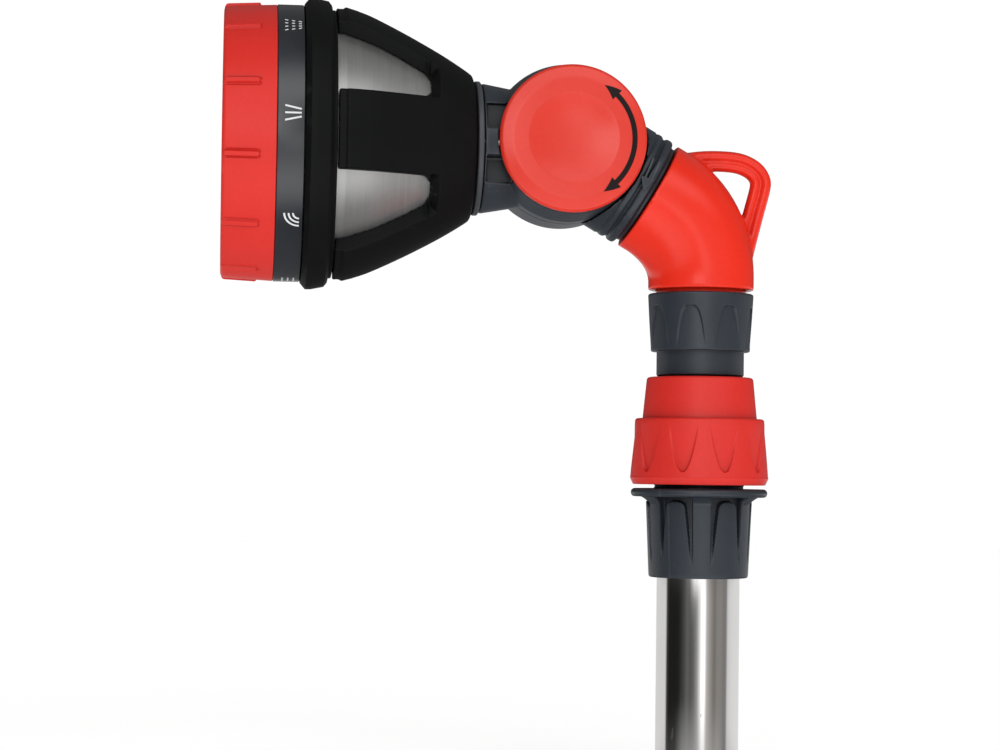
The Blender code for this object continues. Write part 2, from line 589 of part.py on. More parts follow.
turned("bumper_ring", [
    (40.2, BUMPER_FRONT), (BUMPER_R, 74.8), (BUMPER_R, 73.4), (41.1, 69.9), (40.0, 68.7),
    (38.4, 68.7), (38.4, 67.6), (35.55, 67.6), (35.55, BUMPER_FRONT),
], N_HEAD, head_axis, "black")

# Sprung seal below the head axis
turned("seal_cup", [
    (3.6, 67.0), (4.3, 66.3), (4.3, 63.8), (2.2, 63.8), (2.2, 67.0),
], N_BORE, head_axis, "rubber", shift(*SEAL_AT))
coil("seal_spring", radius=3.6, wire_r=0.4, low=60.4, high=63.6,
     turns=2.0, per_turn=8, frame=head_axis, at=SEAL_AT)

# Sprung detent ball above the head axis
coil("detent_coil", radius=1.9, wire_r=0.3, low=59.2, high=63.3,
     turns=2.5, per_turn=7, frame=head_axis, at=DETENT_AT)
draft = bmesh.new()
bmesh.ops.create_uvsphere(draft, u_segments=10, v_segments=6, radius=2.2 * MM)
ball = finished(draft, "detent_ball")
ball.shade_smooth()
add("detent_ball", ball, head_axis, "steel", shift(*DETENT_AT, 65.7))

# ====================================================================== dial
DIAL_R, DIAL_REAR, DIAL_FRONT = 39.6, BUMPER_FRONT + GAP, 83.9
BEZEL_FRONT, BEZEL_R = 99.2, 38.8
PORTS = 8

turned("dial_ring", [
    (DIAL_R, DIAL_FRONT), (DIAL_R, DIAL_REAR), (35.7, DIAL_REAR), (35.7, DIAL_FRONT),
], N_HEAD, dial_axis, "dark")
turned("bezel_ring", [
    (37.0, BEZEL_FRONT), (38.3, 98.7), (BEZEL_R, 97.4), (39.5, 84.2), (37.1, 84.2),
    (37.1, 97.5), (35.8, 97.5), (35.8, BEZEL_FRONT),
], N_HEAD, dial_axis, "red")

# Pattern disc with its rim; a ring of ports passes over the seal
manifold = turned("pattern_manifold", [
    (35.3, 94.6), (35.3, 77.2), (33.6, 76.8), (33.6, 67.2), (29.8, 67.2), (29.8, 68.8),
    (24.2, 68.8), (24.2, 67.2), (1.9, 67.2), (1.9, 74.0), (5.0, 74.0), (5.0, 71.0),
    (31.0, 71.0), (32.6, 94.6),
], N_HEAD, dial_axis, "light_grey")
for i in range(PORTS):
    angle = math.radians(360.0 / PORTS * i)
    boolean(manifold, rod(f"pattern_port_{i + 1}", 2.4, 65.0, 73.0, dial_axis, 7,
                          (-SEAL_OFFSET * math.cos(angle), SEAL_OFFSET * math.sin(angle))))

turned("spray_plate", [
    (36.7, 97.1), (36.7, 95.0), (6.2, 95.0), (6.2, 97.1),
], N_HEAD, dial_axis, "light_grey")
turned("centre_washer", [(4.4, 75.0), (4.4, 74.2), (2.0, 74.2), (2.0, 75.0)],
       N_TINY, dial_axis, "steel")
turned("centre_screw", [
    (0.0, 77.6), (3.0, 77.2), (3.2, 75.3), (1.5, 75.3), (1.5, 58.4), (0.0, 58.0),
], N_TINY, dial_axis, "steel")
turned("centre_cap", [
    (0.0, 98.9), (6.2, 98.6), (8.4, 97.4), (5.9, 97.4), (5.9, 93.6), (0.0, 93.6),
], N_SMALL, dial_axis, "red")
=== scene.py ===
"""Garden watering lance spray head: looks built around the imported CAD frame.

The tube stands along +Z. Above its coupler an elbow bends over to a tilting knuckle that
carries the head, and the camera looks from the -Y side. Shapes are in millimetres in four
local frames (tube, neck, head and tilt pivot); light, camera and shader sizes are in metres.
"""

import json
import math

import bpy
import bmesh
import numpy as np
from mathutils import Matrix, Quaternion, Vector


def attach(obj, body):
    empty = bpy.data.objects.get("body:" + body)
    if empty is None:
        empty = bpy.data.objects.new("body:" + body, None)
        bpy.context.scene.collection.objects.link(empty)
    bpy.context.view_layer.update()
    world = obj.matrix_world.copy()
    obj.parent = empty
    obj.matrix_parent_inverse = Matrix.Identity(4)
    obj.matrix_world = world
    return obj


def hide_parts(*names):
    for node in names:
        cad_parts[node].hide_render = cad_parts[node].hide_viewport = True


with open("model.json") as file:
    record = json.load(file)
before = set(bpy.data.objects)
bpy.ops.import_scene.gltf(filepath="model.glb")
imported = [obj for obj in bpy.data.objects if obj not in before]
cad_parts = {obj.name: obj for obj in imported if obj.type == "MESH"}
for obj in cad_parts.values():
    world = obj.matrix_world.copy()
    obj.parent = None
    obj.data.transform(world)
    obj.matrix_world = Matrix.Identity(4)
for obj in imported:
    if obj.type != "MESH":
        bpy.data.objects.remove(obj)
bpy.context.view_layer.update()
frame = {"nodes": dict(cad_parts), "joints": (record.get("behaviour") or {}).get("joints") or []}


MM = 0.001
nodes = frame["nodes"]
joints = {joint["name"]: joint for joint in frame["joints"]}
PIVOT = Vector(joints["head_tilt"]["pos_m"])
HEAD_ORIGIN = Vector((PIVOT.x, PIVOT.y, joints["pattern_dial"]["pos_m"][2]))
TUBE_FOOT = Vector(joints["coupling_swivel"]["pos_m"])
TUBE_FOOT.z = 0.0
NECK = Vector(joints["neck_swivel"]["axis"]).normalized()
HEAD = Vector(joints["pattern_dial"]["axis"]).normalized()


# ------------------------------------------------------------------ frames
def frame_at(origin, axis_z, axis_x):
    z = Vector(axis_z).normalized()
    x = Vector(axis_x)
    x = (x - x.dot(z) * z).normalized()
    matrix = Matrix((x, z.cross(x), z)).transposed().to_4x4()
    matrix.translation = origin
    return matrix


AT_TUBE = frame_at(TUBE_FOOT, (0, 0, 1), (1, 0, 0))
AT_NECK = frame_at(PIVOT, NECK, (0.5, 0, 0.866))
AT_HEAD = frame_at(HEAD_ORIGIN, HEAD, (0, 0, 1))
AT_PIVOT = frame_at(PIVOT, (0, -1, 0), (1, 0, 0))


# --------------------------------------------------------------- materials
class Graph:
    """Short calls that add linked nodes to one node tree."""

    def __init__(self, tree):
        self.tree = tree

    def fill(self, node, values):
        """Links sockets, sets numbers, and gives colour triples an alpha of one."""
        for key, value in values.items():
            if isinstance(value, bpy.types.NodeSocket):
                self.tree.links.new(value, node.inputs[key])
            elif isinstance(value, tuple):
                node.inputs[key].default_value = (*value, 1.0)
            else:
                node.inputs[key].default_value = value

    def node(self, kind, values=None, **settings):
        made = self.tree.nodes.new("ShaderNode" + kind)
        for key, value in settings.items():
            setattr(made, key, value)
        self.fill(made, values or {})
        return made

    def coords(self, scale=(1, 1, 1)):
        where = self.node("TexCoord").outputs["Object"]
        mapping = self.node("Mapping", {"Vector": where})
        mapping.inputs["Scale"].default_value = scale
        return mapping.outputs["Vector"]

    def noise(self, vector, scale, detail=3.0, rough=0.55):
        values = {"Scale": scale, "Detail": detail, "Roughness": rough, "Vector": vector}
        return self.node("TexNoise", values).outputs["Fac"]

    def remap(self, value, span, to):
        values = dict(zip(("From Min", "From Max", "To Min", "To Max"), (*span, *to)))
        return self.node("MapRange", values | {"Value": value}).outputs["Result"]

    def maths(self, operation, first, second):
        return self.node("Math", {0: first, 1: second}, operation=operation).outputs["Value"]

    def mixed(self, factor, first, second):
        """Colour mix: the node's colour sockets are inputs 6 and 7 and output 2."""
        values = {6: first, 7: second, 0: factor}
        return self.node("Mix", values, data_type="RGBA").outputs[2]

    def bump(self, height, strength, distance, normal=None):
        values = {"Strength": strength, "Distance": distance, "Height": height}
        if normal is not None:
            values["Normal"] = normal
        return self.node("Bump", values).outputs["Normal"]


def new_look(name):
    material = bpy.data.materials.new(name)
    material.use_nodes = True
    look = Graph(material.node_tree)
    return material, look, material.node_tree.nodes["Principled BSDF"]


def scaled(colour, gain):
    return tuple(min(1.0, v * gain) for v in colour)


def moulded(name, colour, rough, vary=0.10, grain=0.30, grain_scale=3200.0, specular=0.5,
            edge=0.25, dust=(0.55, 0.52, 0.50), scuffs=0.05, deep=0.6):
    """Moulded plastic: cloudy colour, fine grain, rubbed edges, a few scuffs, and painted shade in
    corners and grooves.
    """
    material, look, shader = new_look(name)
    at = look.coords()
    cloud = look.noise(at, scale=55.0, detail=4.0)
    base = look.mixed(look.remap(cloud, span=(0.3, 0.7), to=(0, 1)),
                      scaled(colour, gain=1 - vary), scaled(colour, gain=1 + vary))
    speck = look.noise(at, scale=900.0, detail=2.0)
    base = look.mixed(look.remap(speck, span=(0.40, 0.62), to=(0.0, 0.10)),
                      base, scaled(colour, gain=0.72))
    # rubbed, dusty edges
    pointed = look.node("NewGeometry").outputs["Pointiness"]
    rub = look.remap(pointed, span=(0.53, 0.60), to=(0.0, edge))
    patches = look.noise(at, scale=160.0, detail=3.0)
    rub = look.maths("MULTIPLY", rub, look.remap(patches, span=(0.35, 0.65), to=(0.3, 1.0)))
    worn = look.mixed(factor=0.35, first=scaled(colour, gain=1.35), second=dust)
    base = look.mixed(rub, base, worn)
    streak = look.noise(look.coords(scale=(1.0, 1.0, 14.0)), scale=230.0, detail=2.0)
    scuff = look.remap(streak, span=(0.72, 0.80), to=(0.0, scuffs))
    base = look.mixed(scuff, base, dust)
    # painted shade: ambient occlusion darkens the corners and grooves
    hollow = look.node("AmbientOcclusion", {"Distance": 0.006}, samples=4).outputs["AO"]
    painted_hollow_shade = look.remap(hollow, span=(0.35, 0.95), to=(deep, 0.0))
    base = look.mixed(painted_hollow_shade, base, scaled(colour, gain=0.25))
    roughness = look.remap(cloud, span=(0.3, 0.7), to=(rough - 0.03, rough + 0.03))
    scuff_rough = 0.8
    roughness = look.maths("ADD", roughness, look.maths("MULTIPLY", scuff, scuff_rough))
    fine = look.noise(at, scale=grain_scale, detail=2.0)
    broad = look.noise(at, scale=140.0, detail=2.0)
    normal = look.bump(fine, strength=grain, distance=0.00006)
    normal = look.bump(broad, strength=0.12, distance=0.00012, normal=normal)
    look.fill(shader, {"Base Color": base, "Roughness": roughness, "Normal": normal,
                       "Specular IOR Level": specular})
    return material


def brushed(name, colour, rough, lines=(2600.0, 60.0, 60.0), metallic=0.9):
    """Sheet metal with brush lines and faint cross lines."""
    material, look, shader = new_look(name)
    along = look.noise(look.coords(scale=lines), scale=1.0, detail=3.0, rough=0.7)
    across = look.noise(look.coords(scale=(60.0, 900.0, 900.0)), scale=1.0, detail=2.0)
    cloud = look.noise(look.coords(), scale=40.0, detail=3.0)
    base = look.mixed(look.remap(along, span=(0.3, 0.7), to=(0, 1)),
                      scaled(colour, gain=0.90), scaled(colour, gain=1.08))
    base = look.mixed(look.remap(across, span=(0.35, 0.65), to=(0.0, 0.25)),
                      base, scaled(colour, gain=0.88))
    base = look.mixed(look.remap(cloud, span=(0.35, 0.65), to=(0.0, 0.3)),
                      base, scaled(colour, gain=1.05))
    roughness = look.remap(along, span=(0.3, 0.7), to=(rough - 0.06, rough + 0.08))
    normal = look.bump(along, strength=0.35, distance=0.00003)
    normal = look.bump(across, strength=0.15, distance=0.00003, normal=normal)
    look.fill(shader, {"Base Color": base, "Roughness": roughness, "Normal": normal,
                       "Metallic": metallic, "Anisotropic": 0.4})
    return material


def plated(name, colour, rough):
    """Polished plating with hairline scratches, water spots and a faint haze."""
    material, look, shader = new_look(name)
    at = look.coords()
    haze = look.noise(at, scale=30.0, detail=4.0)
    hair = look.noise(look.coords(scale=(900.0, 900.0, 25.0)), scale=1.0, detail=2.0)
    spots = look.noise(look.coords(scale=(1.0, 1.0, 0.35)), scale=520.0, detail=1.0)
    mark = look.remap(spots, span=(0.735, 0.765), to=(0.0, 1.0))
    zone = look.noise(at, scale=26.0, detail=1.0)
    zone = look.remap(zone, span=(0.48, 0.62), to=(0.0, 1.0))
    mark = look.maths("MULTIPLY", mark, zone)
    base = look.mixed(look.remap(haze, span=(0.3, 0.7), to=(0, 1)),
                      scaled(colour, gain=0.97), scaled(colour, gain=1.02))
    spot_cover, spot_rough = 0.6, 0.3
    base = look.mixed(look.maths("MULTIPLY", mark, spot_cover), base, scaled(colour, gain=0.25))
    roughness = look.remap(hair, span=(0.35, 0.7), to=(rough, rough + 0.05))
    roughness = look.maths("ADD", roughness, look.maths("MULTIPLY", mark, spot_rough))
    normal = look.bump(hair, strength=0.10, distance=0.00002)
    look.fill(shader, {"Base Color": base, "Roughness": roughness, "Normal": normal,
                       "Metallic": 1.0})
    return material


def ink(name, colour, rough=0.5):
    """Pad print: slightly uneven coverage."""
    material, look, shader = new_look(name)
    cover = look.noise(look.coords(), scale=1600.0, detail=3.0)
    base = look.mixed(look.remap(cover, span=(0.35, 0.7), to=(0.0, 0.35)),
                      colour, scaled(colour, gain=0.78))
    roughness = look.remap(cover, span=(0.3, 0.7), to=(rough - 0.08, rough + 0.1))
    normal = look.bump(cover, strength=0.2, distance=0.00002)
    look.fill(shader, {"Base Color": base, "Roughness": roughness, "Normal": normal,
                       "Specular IOR Level": 0.25})
    return material


# deep in these calls sets how dark the painted shade in corners and grooves gets
RED = moulded("red_plastic_look", colour=(0.745, 0.026, 0.018), rough=0.37, vary=0.03,
              specular=0.34, edge=0.12, deep=0.45)
CAP_RED = moulded("cap_red_look", colour=(0.775, 0.038, 0.020), rough=0.21, vary=0.02,
                  specular=0.55, scuffs=0.0, edge=0.05, deep=0.3)
ORANGE = moulded("orange_red_look", colour=(0.880, 0.028, 0.010), rough=0.20, vary=0.02,
                 grain=0.08, specular=0.42, scuffs=0.0, edge=0.0, deep=0.35)
DARK = moulded("dark_plastic_look", colour=(0.028, 0.036, 0.047), rough=0.36, vary=0.10,
               specular=0.55, deep=0.9, dust=(0.22, 0.23, 0.24), edge=0.30)
DIAL_DARK = moulded("dial_plastic_look", colour=(0.016, 0.019, 0.025), rough=0.24, vary=0.22,
                    specular=0.95, dust=(0.2, 0.2, 0.21), edge=0.25)
GREY = moulded("grey_plastic_look", colour=(0.060, 0.066, 0.075), rough=0.42, vary=0.08,
               specular=0.5, edge=0.2)
PALE = moulded("inner_plastic_look", colour=(0.28, 0.29, 0.30), rough=0.46, vary=0.06)
BLACK = moulded("black_overmould_look", colour=(0.0042, 0.0045, 0.0050), rough=0.58, vary=0.15,
                grain=0.45, grain_scale=2600.0, specular=0.16, dust=(0.10, 0.10, 0.10),
                edge=0.35)
FACE = moulded("face_plastic_look", colour=(0.055, 0.060, 0.068), rough=0.42, vary=0.10,
               dust=(0.25, 0.25, 0.26))
RUBBER = moulded("seal_rubber_look", colour=(0.018, 0.018, 0.018), rough=0.72, vary=0.2,
                 grain=0.5, specular=0.3, dust=(0.12, 0.12, 0.12))
SHROUD = brushed("shroud_look", colour=(0.55, 0.55, 0.54), rough=0.42)
STEEL = brushed("steel_look", colour=(0.55, 0.55, 0.55), rough=0.28,
                lines=(900.0, 900.0, 900.0), metallic=1.0)
CHROME = plated("chrome_look", colour=(0.93, 0.92, 0.90), rough=0.045)
WHITE_INK = ink("white_ink_look", colour=(0.80, 0.82, 0.82))
BLACK_INK = ink("black_ink_look", colour=(0.012, 0.006, 0.006))


# ------------------------------------------------------------------ shapes
def rounded(points, closed=True, step=12.0):
    """Points given as (radius, height, corner radius) become arcs; the others stay sharp."""
    out, count = [], len(points)
    for i, point in enumerate(points):
        radius = point[2] if len(point) > 2 else 0.0
        sharp = (float(point[0]), float(point[1]))
        if radius <= 0 or (not closed and i in (0, count - 1)):
            out.append(sharp)
            continue
        corner = np.array(point[:2], float)
        back = np.array(points[i - 1][:2], float) - corner
        ahead = np.array(points[(i + 1) % count][:2], float) - corner
        back_len, ahead_len = np.linalg.norm(back), np.linalg.norm(ahead)
        back, ahead = back / back_len, ahead / ahead_len
        angle = math.acos(max(-1.0, min(1.0, float(back @ ahead))))
        if angle > math.radians(179):
            out.append(sharp)
            continue
        reach = min(radius / math.tan(angle / 2), 0.49 * back_len, 0.49 * ahead_len)
        fitted = reach * math.tan(angle / 2)
        middle = (back + ahead) / np.linalg.norm(back + ahead)
        centre = corner + middle * fitted / math.sin(angle / 2)
        start, end = corner + back * reach - centre, corner + ahead * reach - centre
        first = math.atan2(start[1], start[0])
        turn = (math.atan2(end[1], end[0]) - first + math.pi) % (2 * math.pi) - math.pi
        steps = max(2, math.ceil(abs(math.degrees(turn)) / step))
        for k in range(steps + 1):
            now = first + turn * k / steps
            out.append((float(centre[0] + fitted * math.cos(now)),
                        float(centre[1] + fitted * math.sin(now))))
    return out


def divided(points, step, closed=True, where=None):
    """Splits the edges to at most a step long, all of them or those where() picks."""
    out = []
    ends = points[1:] + points[:1] if closed else points[1:]
    for start, end in zip(points, ends):
        count = 1
        if where is None or where((start[0] + end[0]) / 2, (start[1] + end[1]) / 2):
            count = max(1, math.ceil(math.dist(start, end) / step))
        for k in range(count):
            out.append((start[0] + (end[0] - start[0]) * k / count,
                        start[1] + (end[1] - start[1]) * k / count))
    if not closed:
        out.append(points[-1])
    return out


def mesh_piece(name, verts, faces, at, mat=None, sharp=38.0, merge=False):
    """Mesh from millimetre points in a frame; its vertices are put in the row frame."""
    mesh = bpy.data.meshes.new(name)
    mesh.from_pydata((np.asarray(verts, float) * MM).tolist(), [], faces)
    mesh.transform(at)
    work = bmesh.new()
    work.from_mesh(mesh)
    if merge:
        bmesh.ops.remove_doubles(work, verts=work.verts, dist=2e-7)
        bmesh.ops.dissolve_degenerate(work, edges=work.edges, dist=1e-8)
    if work.calc_volume(signed=True) < 0:
        bmesh.ops.reverse_faces(work, faces=work.faces)
    work.to_mesh(mesh)
    work.free()
    mesh.shade_smooth()
    mesh.set_sharp_from_angle(angle=math.radians(sharp))
    if mat is not None:
        mesh.materials.append(mat)
    piece = bpy.data.objects.new(name, mesh)
    bpy.context.scene.collection.objects.link(piece)
    return piece


def angles_near(centres, half, step, coarse):
    """Angles round a circle from degrees to radians, close together near each centre."""
    found = set()
    for k in range(int(round(360.0 / coarse))):
        angle = k * coarse
        if all(abs((angle - c + 180) % 360 - 180) > half + coarse * 0.4 for c in centres):
            found.add(round(angle % 360, 5))
    count = int(round(2 * half / step))
    for centre in centres:
        for k in range(count + 1):
            found.add(round((centre - half + k * step) % 360, 5))
    return np.radians(np.array(sorted(found)))


def lathe(name, profile, around, at, mat=None, push=None, closed=True):
    """Profile of (radius, height) spun about the frame's Z.

    around is a count or an array of angles; push(radius, height, angle) gives new radii.
    An open profile may end on the axis, where its points are merged.
    """
    outline = np.array(profile, float)
    if isinstance(around, int):
        around = np.linspace(0, 2 * math.pi, around, endpoint=False)
    rows, cols = len(outline), len(around)
    radius = np.repeat(outline[:, :1], cols, 1)
    height = np.repeat(outline[:, 1:2], cols, 1)
    angle = np.repeat(around[None, :], rows, 0)
    if push is not None:
        radius = push(radius, height, angle)
    verts = np.stack([radius * np.cos(angle), radius * np.sin(angle), height], -1)
    row, col = np.meshgrid(np.arange(rows if closed else rows - 1), np.arange(cols),
                           indexing="ij")
    row2, col2 = (row + 1) % rows, (col + 1) % cols
    faces = np.stack([row * cols + col, row2 * cols + col, row2 * cols + col2,
                      row * cols + col2], -1).reshape(-1, 4)
    return mesh_piece(name, verts.reshape(-1, 3), faces.tolist(), at, mat, merge=not closed)


def loft(rings, at, name="loft"):
    rings = [np.asarray(ring, float) for ring in rings]
    size = len(rings[0])
    faces = []
    for i in range(len(rings) - 1):
        for j in range(size):
            k = (j + 1) % size
            faces.append((i * size + j, i * size + k, (i + 1) * size + k, (i + 1) * size + j))
    faces.append(tuple(reversed(range(size))))
    faces.append(tuple((len(rings) - 1) * size + j for j in range(size)))
    return mesh_piece(name, np.concatenate(rings), faces, at)


def circle(radius, height, count=48, x=0.0, y=0.0):
    turns = [2 * math.pi * i / count for i in range(count)]
    return [(x + radius * math.cos(a), y + radius * math.sin(a), height) for a in turns]


def rod(radius, low, high, at, count=48, x=0.0, y=0.0):
    return loft([circle(radius, low, count, x, y), circle(radius, high, count, x, y)], at)


def block(low, high, at):
    corners = ((low[0], low[1]), (high[0], low[1]), (high[0], high[1]), (low[0], high[1]))
    return loft([[(x, y, z) for x, y in corners] for z in (low[2], high[2])], at)


def sweep(path, outline, at, name="sweep", size=None):
    """(outward, across) outline carried along an (x, z) path in the frame's XZ plane."""
    path = np.array(path, float)
    tangents = np.gradient(path, axis=0)
    tangents /= np.linalg.norm(tangents, axis=1)[:, None]
    rings = []
    for i, (point, tangent) in enumerate(zip(path, tangents)):
        normal = np.array([-tangent[1], tangent[0]])
        gain = 1.0 if size is None else size[i]
        rings.append([(point[0] + normal[0] * out * gain, y * gain,
                       point[1] + normal[1] * out * gain) for out, y in outline])
    return loft(rings, at, name)


def smooth_path(points, count):
    """Catmull-Rom curve through the points."""
    knots = np.array([points[0]] + list(points) + [points[-1]], float)
    knots[0] = 2 * knots[1] - knots[2]
    knots[-1] = 2 * knots[-2] - knots[-3]
    out = []
    spans = len(points) - 1
    for i in range(count + 1):
        place = min(i * spans / count, spans - 1e-9)
        k, u = int(place), place - int(place)
        a, b, c, d = knots[k:k + 4]
        out.append(0.5 * ((2 * b) + (c - a) * u + (2 * a - 5 * b + 4 * c - d) * u * u
                          + (3 * b - a - 3 * c + d) * u ** 3))
    return np.array(out)


def combine(piece, others, operation="DIFFERENCE"):
    for other in others:
        mod = piece.modifiers.new(operation.lower(), "BOOLEAN")
        mod.operation, mod.solver, mod.object = operation, "EXACT", other
    piece["cutters"] = 1  # marks a piece made with booleans
    return piece


def settle(piece, mat, voxel=None, smooth=0, sharp=38.0):
    """Applies the modifiers, then drops the cutters they used."""
    used = [mod.object for mod in piece.modifiers if mod.type == "BOOLEAN"]
    if voxel:
        mod = piece.modifiers.new("remesh", "REMESH")
        mod.mode, mod.voxel_size, mod.adaptivity = "VOXEL", voxel * MM, 0.0
    if smooth:
        mod = piece.modifiers.new("smooth", "SMOOTH")
        mod.factor, mod.iterations = 0.5, smooth
    graph = bpy.context.evaluated_depsgraph_get()
    mesh = bpy.data.meshes.new_from_object(piece.evaluated_get(graph), depsgraph=graph)
    piece.modifiers.clear()
    old = piece.data
    piece.data = mesh
    bpy.data.meshes.remove(old)
    mesh.materials.clear()
    mesh.materials.append(mat)
    mesh.shade_smooth()
    mesh.set_sharp_from_angle(angle=math.radians(sharp))
    for cutter in used:
        bpy.data.objects.remove(cutter, do_unlink=True)
    return piece


def stand(piece, body, slot, *replaced):
    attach(piece, body)
    if replaced:
        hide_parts(*replaced)


def ease(x):
    x = np.clip(x, 0.0, 1.0)
    return x * x * (3 - 2 * x)


def from_front(degrees):
    """Angle this far round from -Y, towards +X in the tube frame and upwards in the head's."""
    return math.radians(degrees - 90.0)


def fold(angle, first, count):
    """Signed angle to the nearest of count even places round the axis."""
    pitch = 2 * math.pi / count
    return (angle - first + pitch / 2) % pitch - pitch / 2


def spun(at, degrees):
    return at @ Matrix.Rotation(math.radians(degrees), 4, "Z")


def ring_point(at, radius, angle, height):
    """Row-frame point in millimetres of a place round a frame's Z."""
    point = at @ Vector((radius * math.cos(angle) * MM, radius * math.sin(angle) * MM,
                         height * MM))
    return tuple(c / MM for c in point)


def ribbons(name, strokes, place, mat, top=0.06, base=-0.25):
    """Raised print: strokes of (points, half widths) laid by place(along, across, height)."""
    verts, faces = [], []
    for points, halves in strokes:
        path = np.array(points, float)
        if np.isscalar(halves):
            halves = [halves] * len(path)
        tangents = np.gradient(path, axis=0)
        tangents /= np.linalg.norm(tangents, axis=1)[:, None]
        normals = np.stack([-tangents[:, 1], tangents[:, 0]], -1)
        first = len(verts)
        across = np.linspace(1, -1, 9 if max(halves) > 0.9 else 2)
        size = len(across) + 2
        for point, normal, half in zip(path, normals, halves):
            verts += [place(*(point + normal * half * k), top) for k in across]
            verts += [place(*(point - normal * half), base), place(*(point + normal * half), base)]
        for i in range(len(path) - 1):
            a = first + size * i
            for j in range(size):
                k = (j + 1) % size
                faces.append((a + j, a + k, a + size + k, a + size + j))
        faces.append(tuple(first + k for k in reversed(range(size))))
        last = first + size * (len(path) - 1)
        faces.append(tuple(last + k for k in range(size)))
    piece = mesh_piece(name, verts, faces, Matrix.Identity(4), mat, sharp=20.0)
    work = bmesh.new()
    work.from_mesh(piece.data)
    bmesh.ops.recalc_face_normals(work, faces=work.faces)
    work.to_mesh(piece.data)
    work.free()
    return piece


def line(start, end, count=8):
    return [(start[0] + (end[0] - start[0]) * i / count,
             start[1] + (end[1] - start[1]) * i / count) for i in range(count + 1)]


# ============================================================ lance and coupler
# Turned outlines are (radius, height, corner radius), the last only where a corner is rounded.
stand(lathe("tube_shell", rounded([
    (12.0, 91.4, .3), (12.0, 0.0, .25), (10.9, 0.0, .25), (10.9, 91.4, .3),
]), 192, AT_TUBE, CHROME), "lance", "chrome_tube", "lance_tube")

THREAD_PITCH = 2.2
THREAD_BAND_R = 13.05  # plain band of the coupler that takes the thread
THREAD_ROOT_R, THREAD_DEPTH = 12.85, 0.45


def thread(radius, height, angle):
    threaded = (np.abs(radius - THREAD_BAND_R) < 0.06) & (height > 68.5) & (height < 86.6)
    wave = 1 - np.abs(((height / THREAD_PITCH - angle / (2 * math.pi)) % 1.0) * 2 - 1)
    fade = ease(86.4 - height) * ease(height - 68.6)
    return np.where(threaded, THREAD_ROOT_R + THREAD_DEPTH * fade * ease(wave * 1.25), radius)


coupler = lathe("coupler_shell", divided(rounded([
    (12.4, 117.4, .3), (12.4, 93.0), (17.5, 93.0, .3), (17.5, 87.1, .3),
    (THREAD_BAND_R, 87.1), (THREAD_BAND_R, 68.0, .3), (12.25, 68.0),
    (12.25, 88.5), (14.1, 88.5), (14.1, 90.7), (12.25, 90.7),
    (12.25, 91.9), (9.3, 91.9), (9.3, 116.4), (10.2, 117.4, .3),
]), 0.22, where=lambda radius, height: abs(radius - THREAD_BAND_R) < 0.02),
    144, AT_TUBE, DARK, push=thread)
windows = [block((6.0, -2.5, 106.2), (14.5, 2.5, 108.8), spun(AT_TUBE, degrees))
           for degrees in (90, 210, 330)]
settle(combine(coupler, windows), DARK)
stand(coupler, "lance", "dark_plastic", "coupler_body")


def petals(tip, top, width, depth, count, first, length, power):
    """Pointed recesses whose tips lie at height tip; top is where they run out."""
    way = 1.0 if top > tip else -1.0

    def push(radius, height, angle):
        arc = fold(angle, from_front(first), count) * radius
        along = (height - tip) * way
        x = np.minimum(np.abs(arc) / (width / 2), 1.6)
        slope = power * length * x ** (power - 1) / (width / 2)
        inside = (along - length * x ** power) / np.sqrt(1 + slope ** 2)
        deep = depth * np.clip((abs(top - tip) - along) / abs(top - tip), 0, 1)
        return radius - deep * ease(inside / 0.42 + 0.1)
    return push


grip_petals = petals(tip=90.4, top=104.2, width=8.6, depth=0.95, count=10, first=11.5,
                     length=12.5, power=2.2)


def grip_push(radius, height, angle):
    return np.where(radius > 18.45, grip_petals(radius, height, angle), radius)


stand(lathe("coupler_skirt", divided(rounded([
    (16.95, 106.0, .25), (18.7, 106.0, .8), (20.0, 89.05, .1), (20.1, 88.85, .1), (20.0, 88.6, .1),
    (19.85, 88.2, .1), (19.2, 86.85, .35), (17.8, 86.8, .25), (17.8, 104.6), (16.95, 104.6),
]), 0.22, where=lambda radius, height: radius > 18.6 and 88.9 < height < 105.2),
    760, AT_TUBE, RED, push=grip_push), "lance", "red_plastic", "coupler_grip")

stand(lathe("sleeve_shell", rounded([
    (12.8, 118.0, .2), (15.42, 118.0, .9), (16.6, 106.0, .6), (16.6, 101.0, .2),
    (12.75, 101.0), (12.75, 104.4), (15.1, 111.6), (12.8, 112.4),
]), 192, AT_TUBE, RED), "sleeve", "red_plastic", "release_sleeve")

# Nut: six ribs running into the flange, tapering grooves beside them, round-topped panels.
NUT_SIDE_R = 15.0  # marks the rows of the profile that nut_push shapes
NUT_RIB_HALF = 2.7
NUT_PANEL_TOP, NUT_PANEL_CORNER = 82.2, 2.1


def nut_push(radius, height, angle):
    arc = np.abs(fold(angle, from_front(-7.0), 6)) * NUT_SIDE_R
    plain = 14.45 + (height - 61.0) * (0.75 / 17.0)
    fillet = 2.6 * np.clip((height - 80.6) / 2.7, 0, 1) ** 2.4
    rib = plain + fillet
    low = plain - 1.55 * ease((height - 62.6) / 14.0)
    gap = 1.9 * np.clip((height - 63.5) / 18.0, 0.0, 1.0) + 0.16
    inward = arc - NUT_RIB_HALF - gap
    below = NUT_PANEL_TOP - height
    corner = NUT_PANEL_CORNER
    near = (inward < corner) & (below < corner)
    inside = np.where(near, corner - np.hypot(corner - inward, corner - below),
                      np.minimum(inward, below))
    on_panel = ease(inside / 0.5 + 0.25)
    on_rib = ease((NUT_RIB_HALF - arc) / 0.4 + 0.5)
    made = np.maximum(low + (rib - low) * on_rib, low + (plain - low) * on_panel)
    return np.where(radius == NUT_SIDE_R, made, radius)


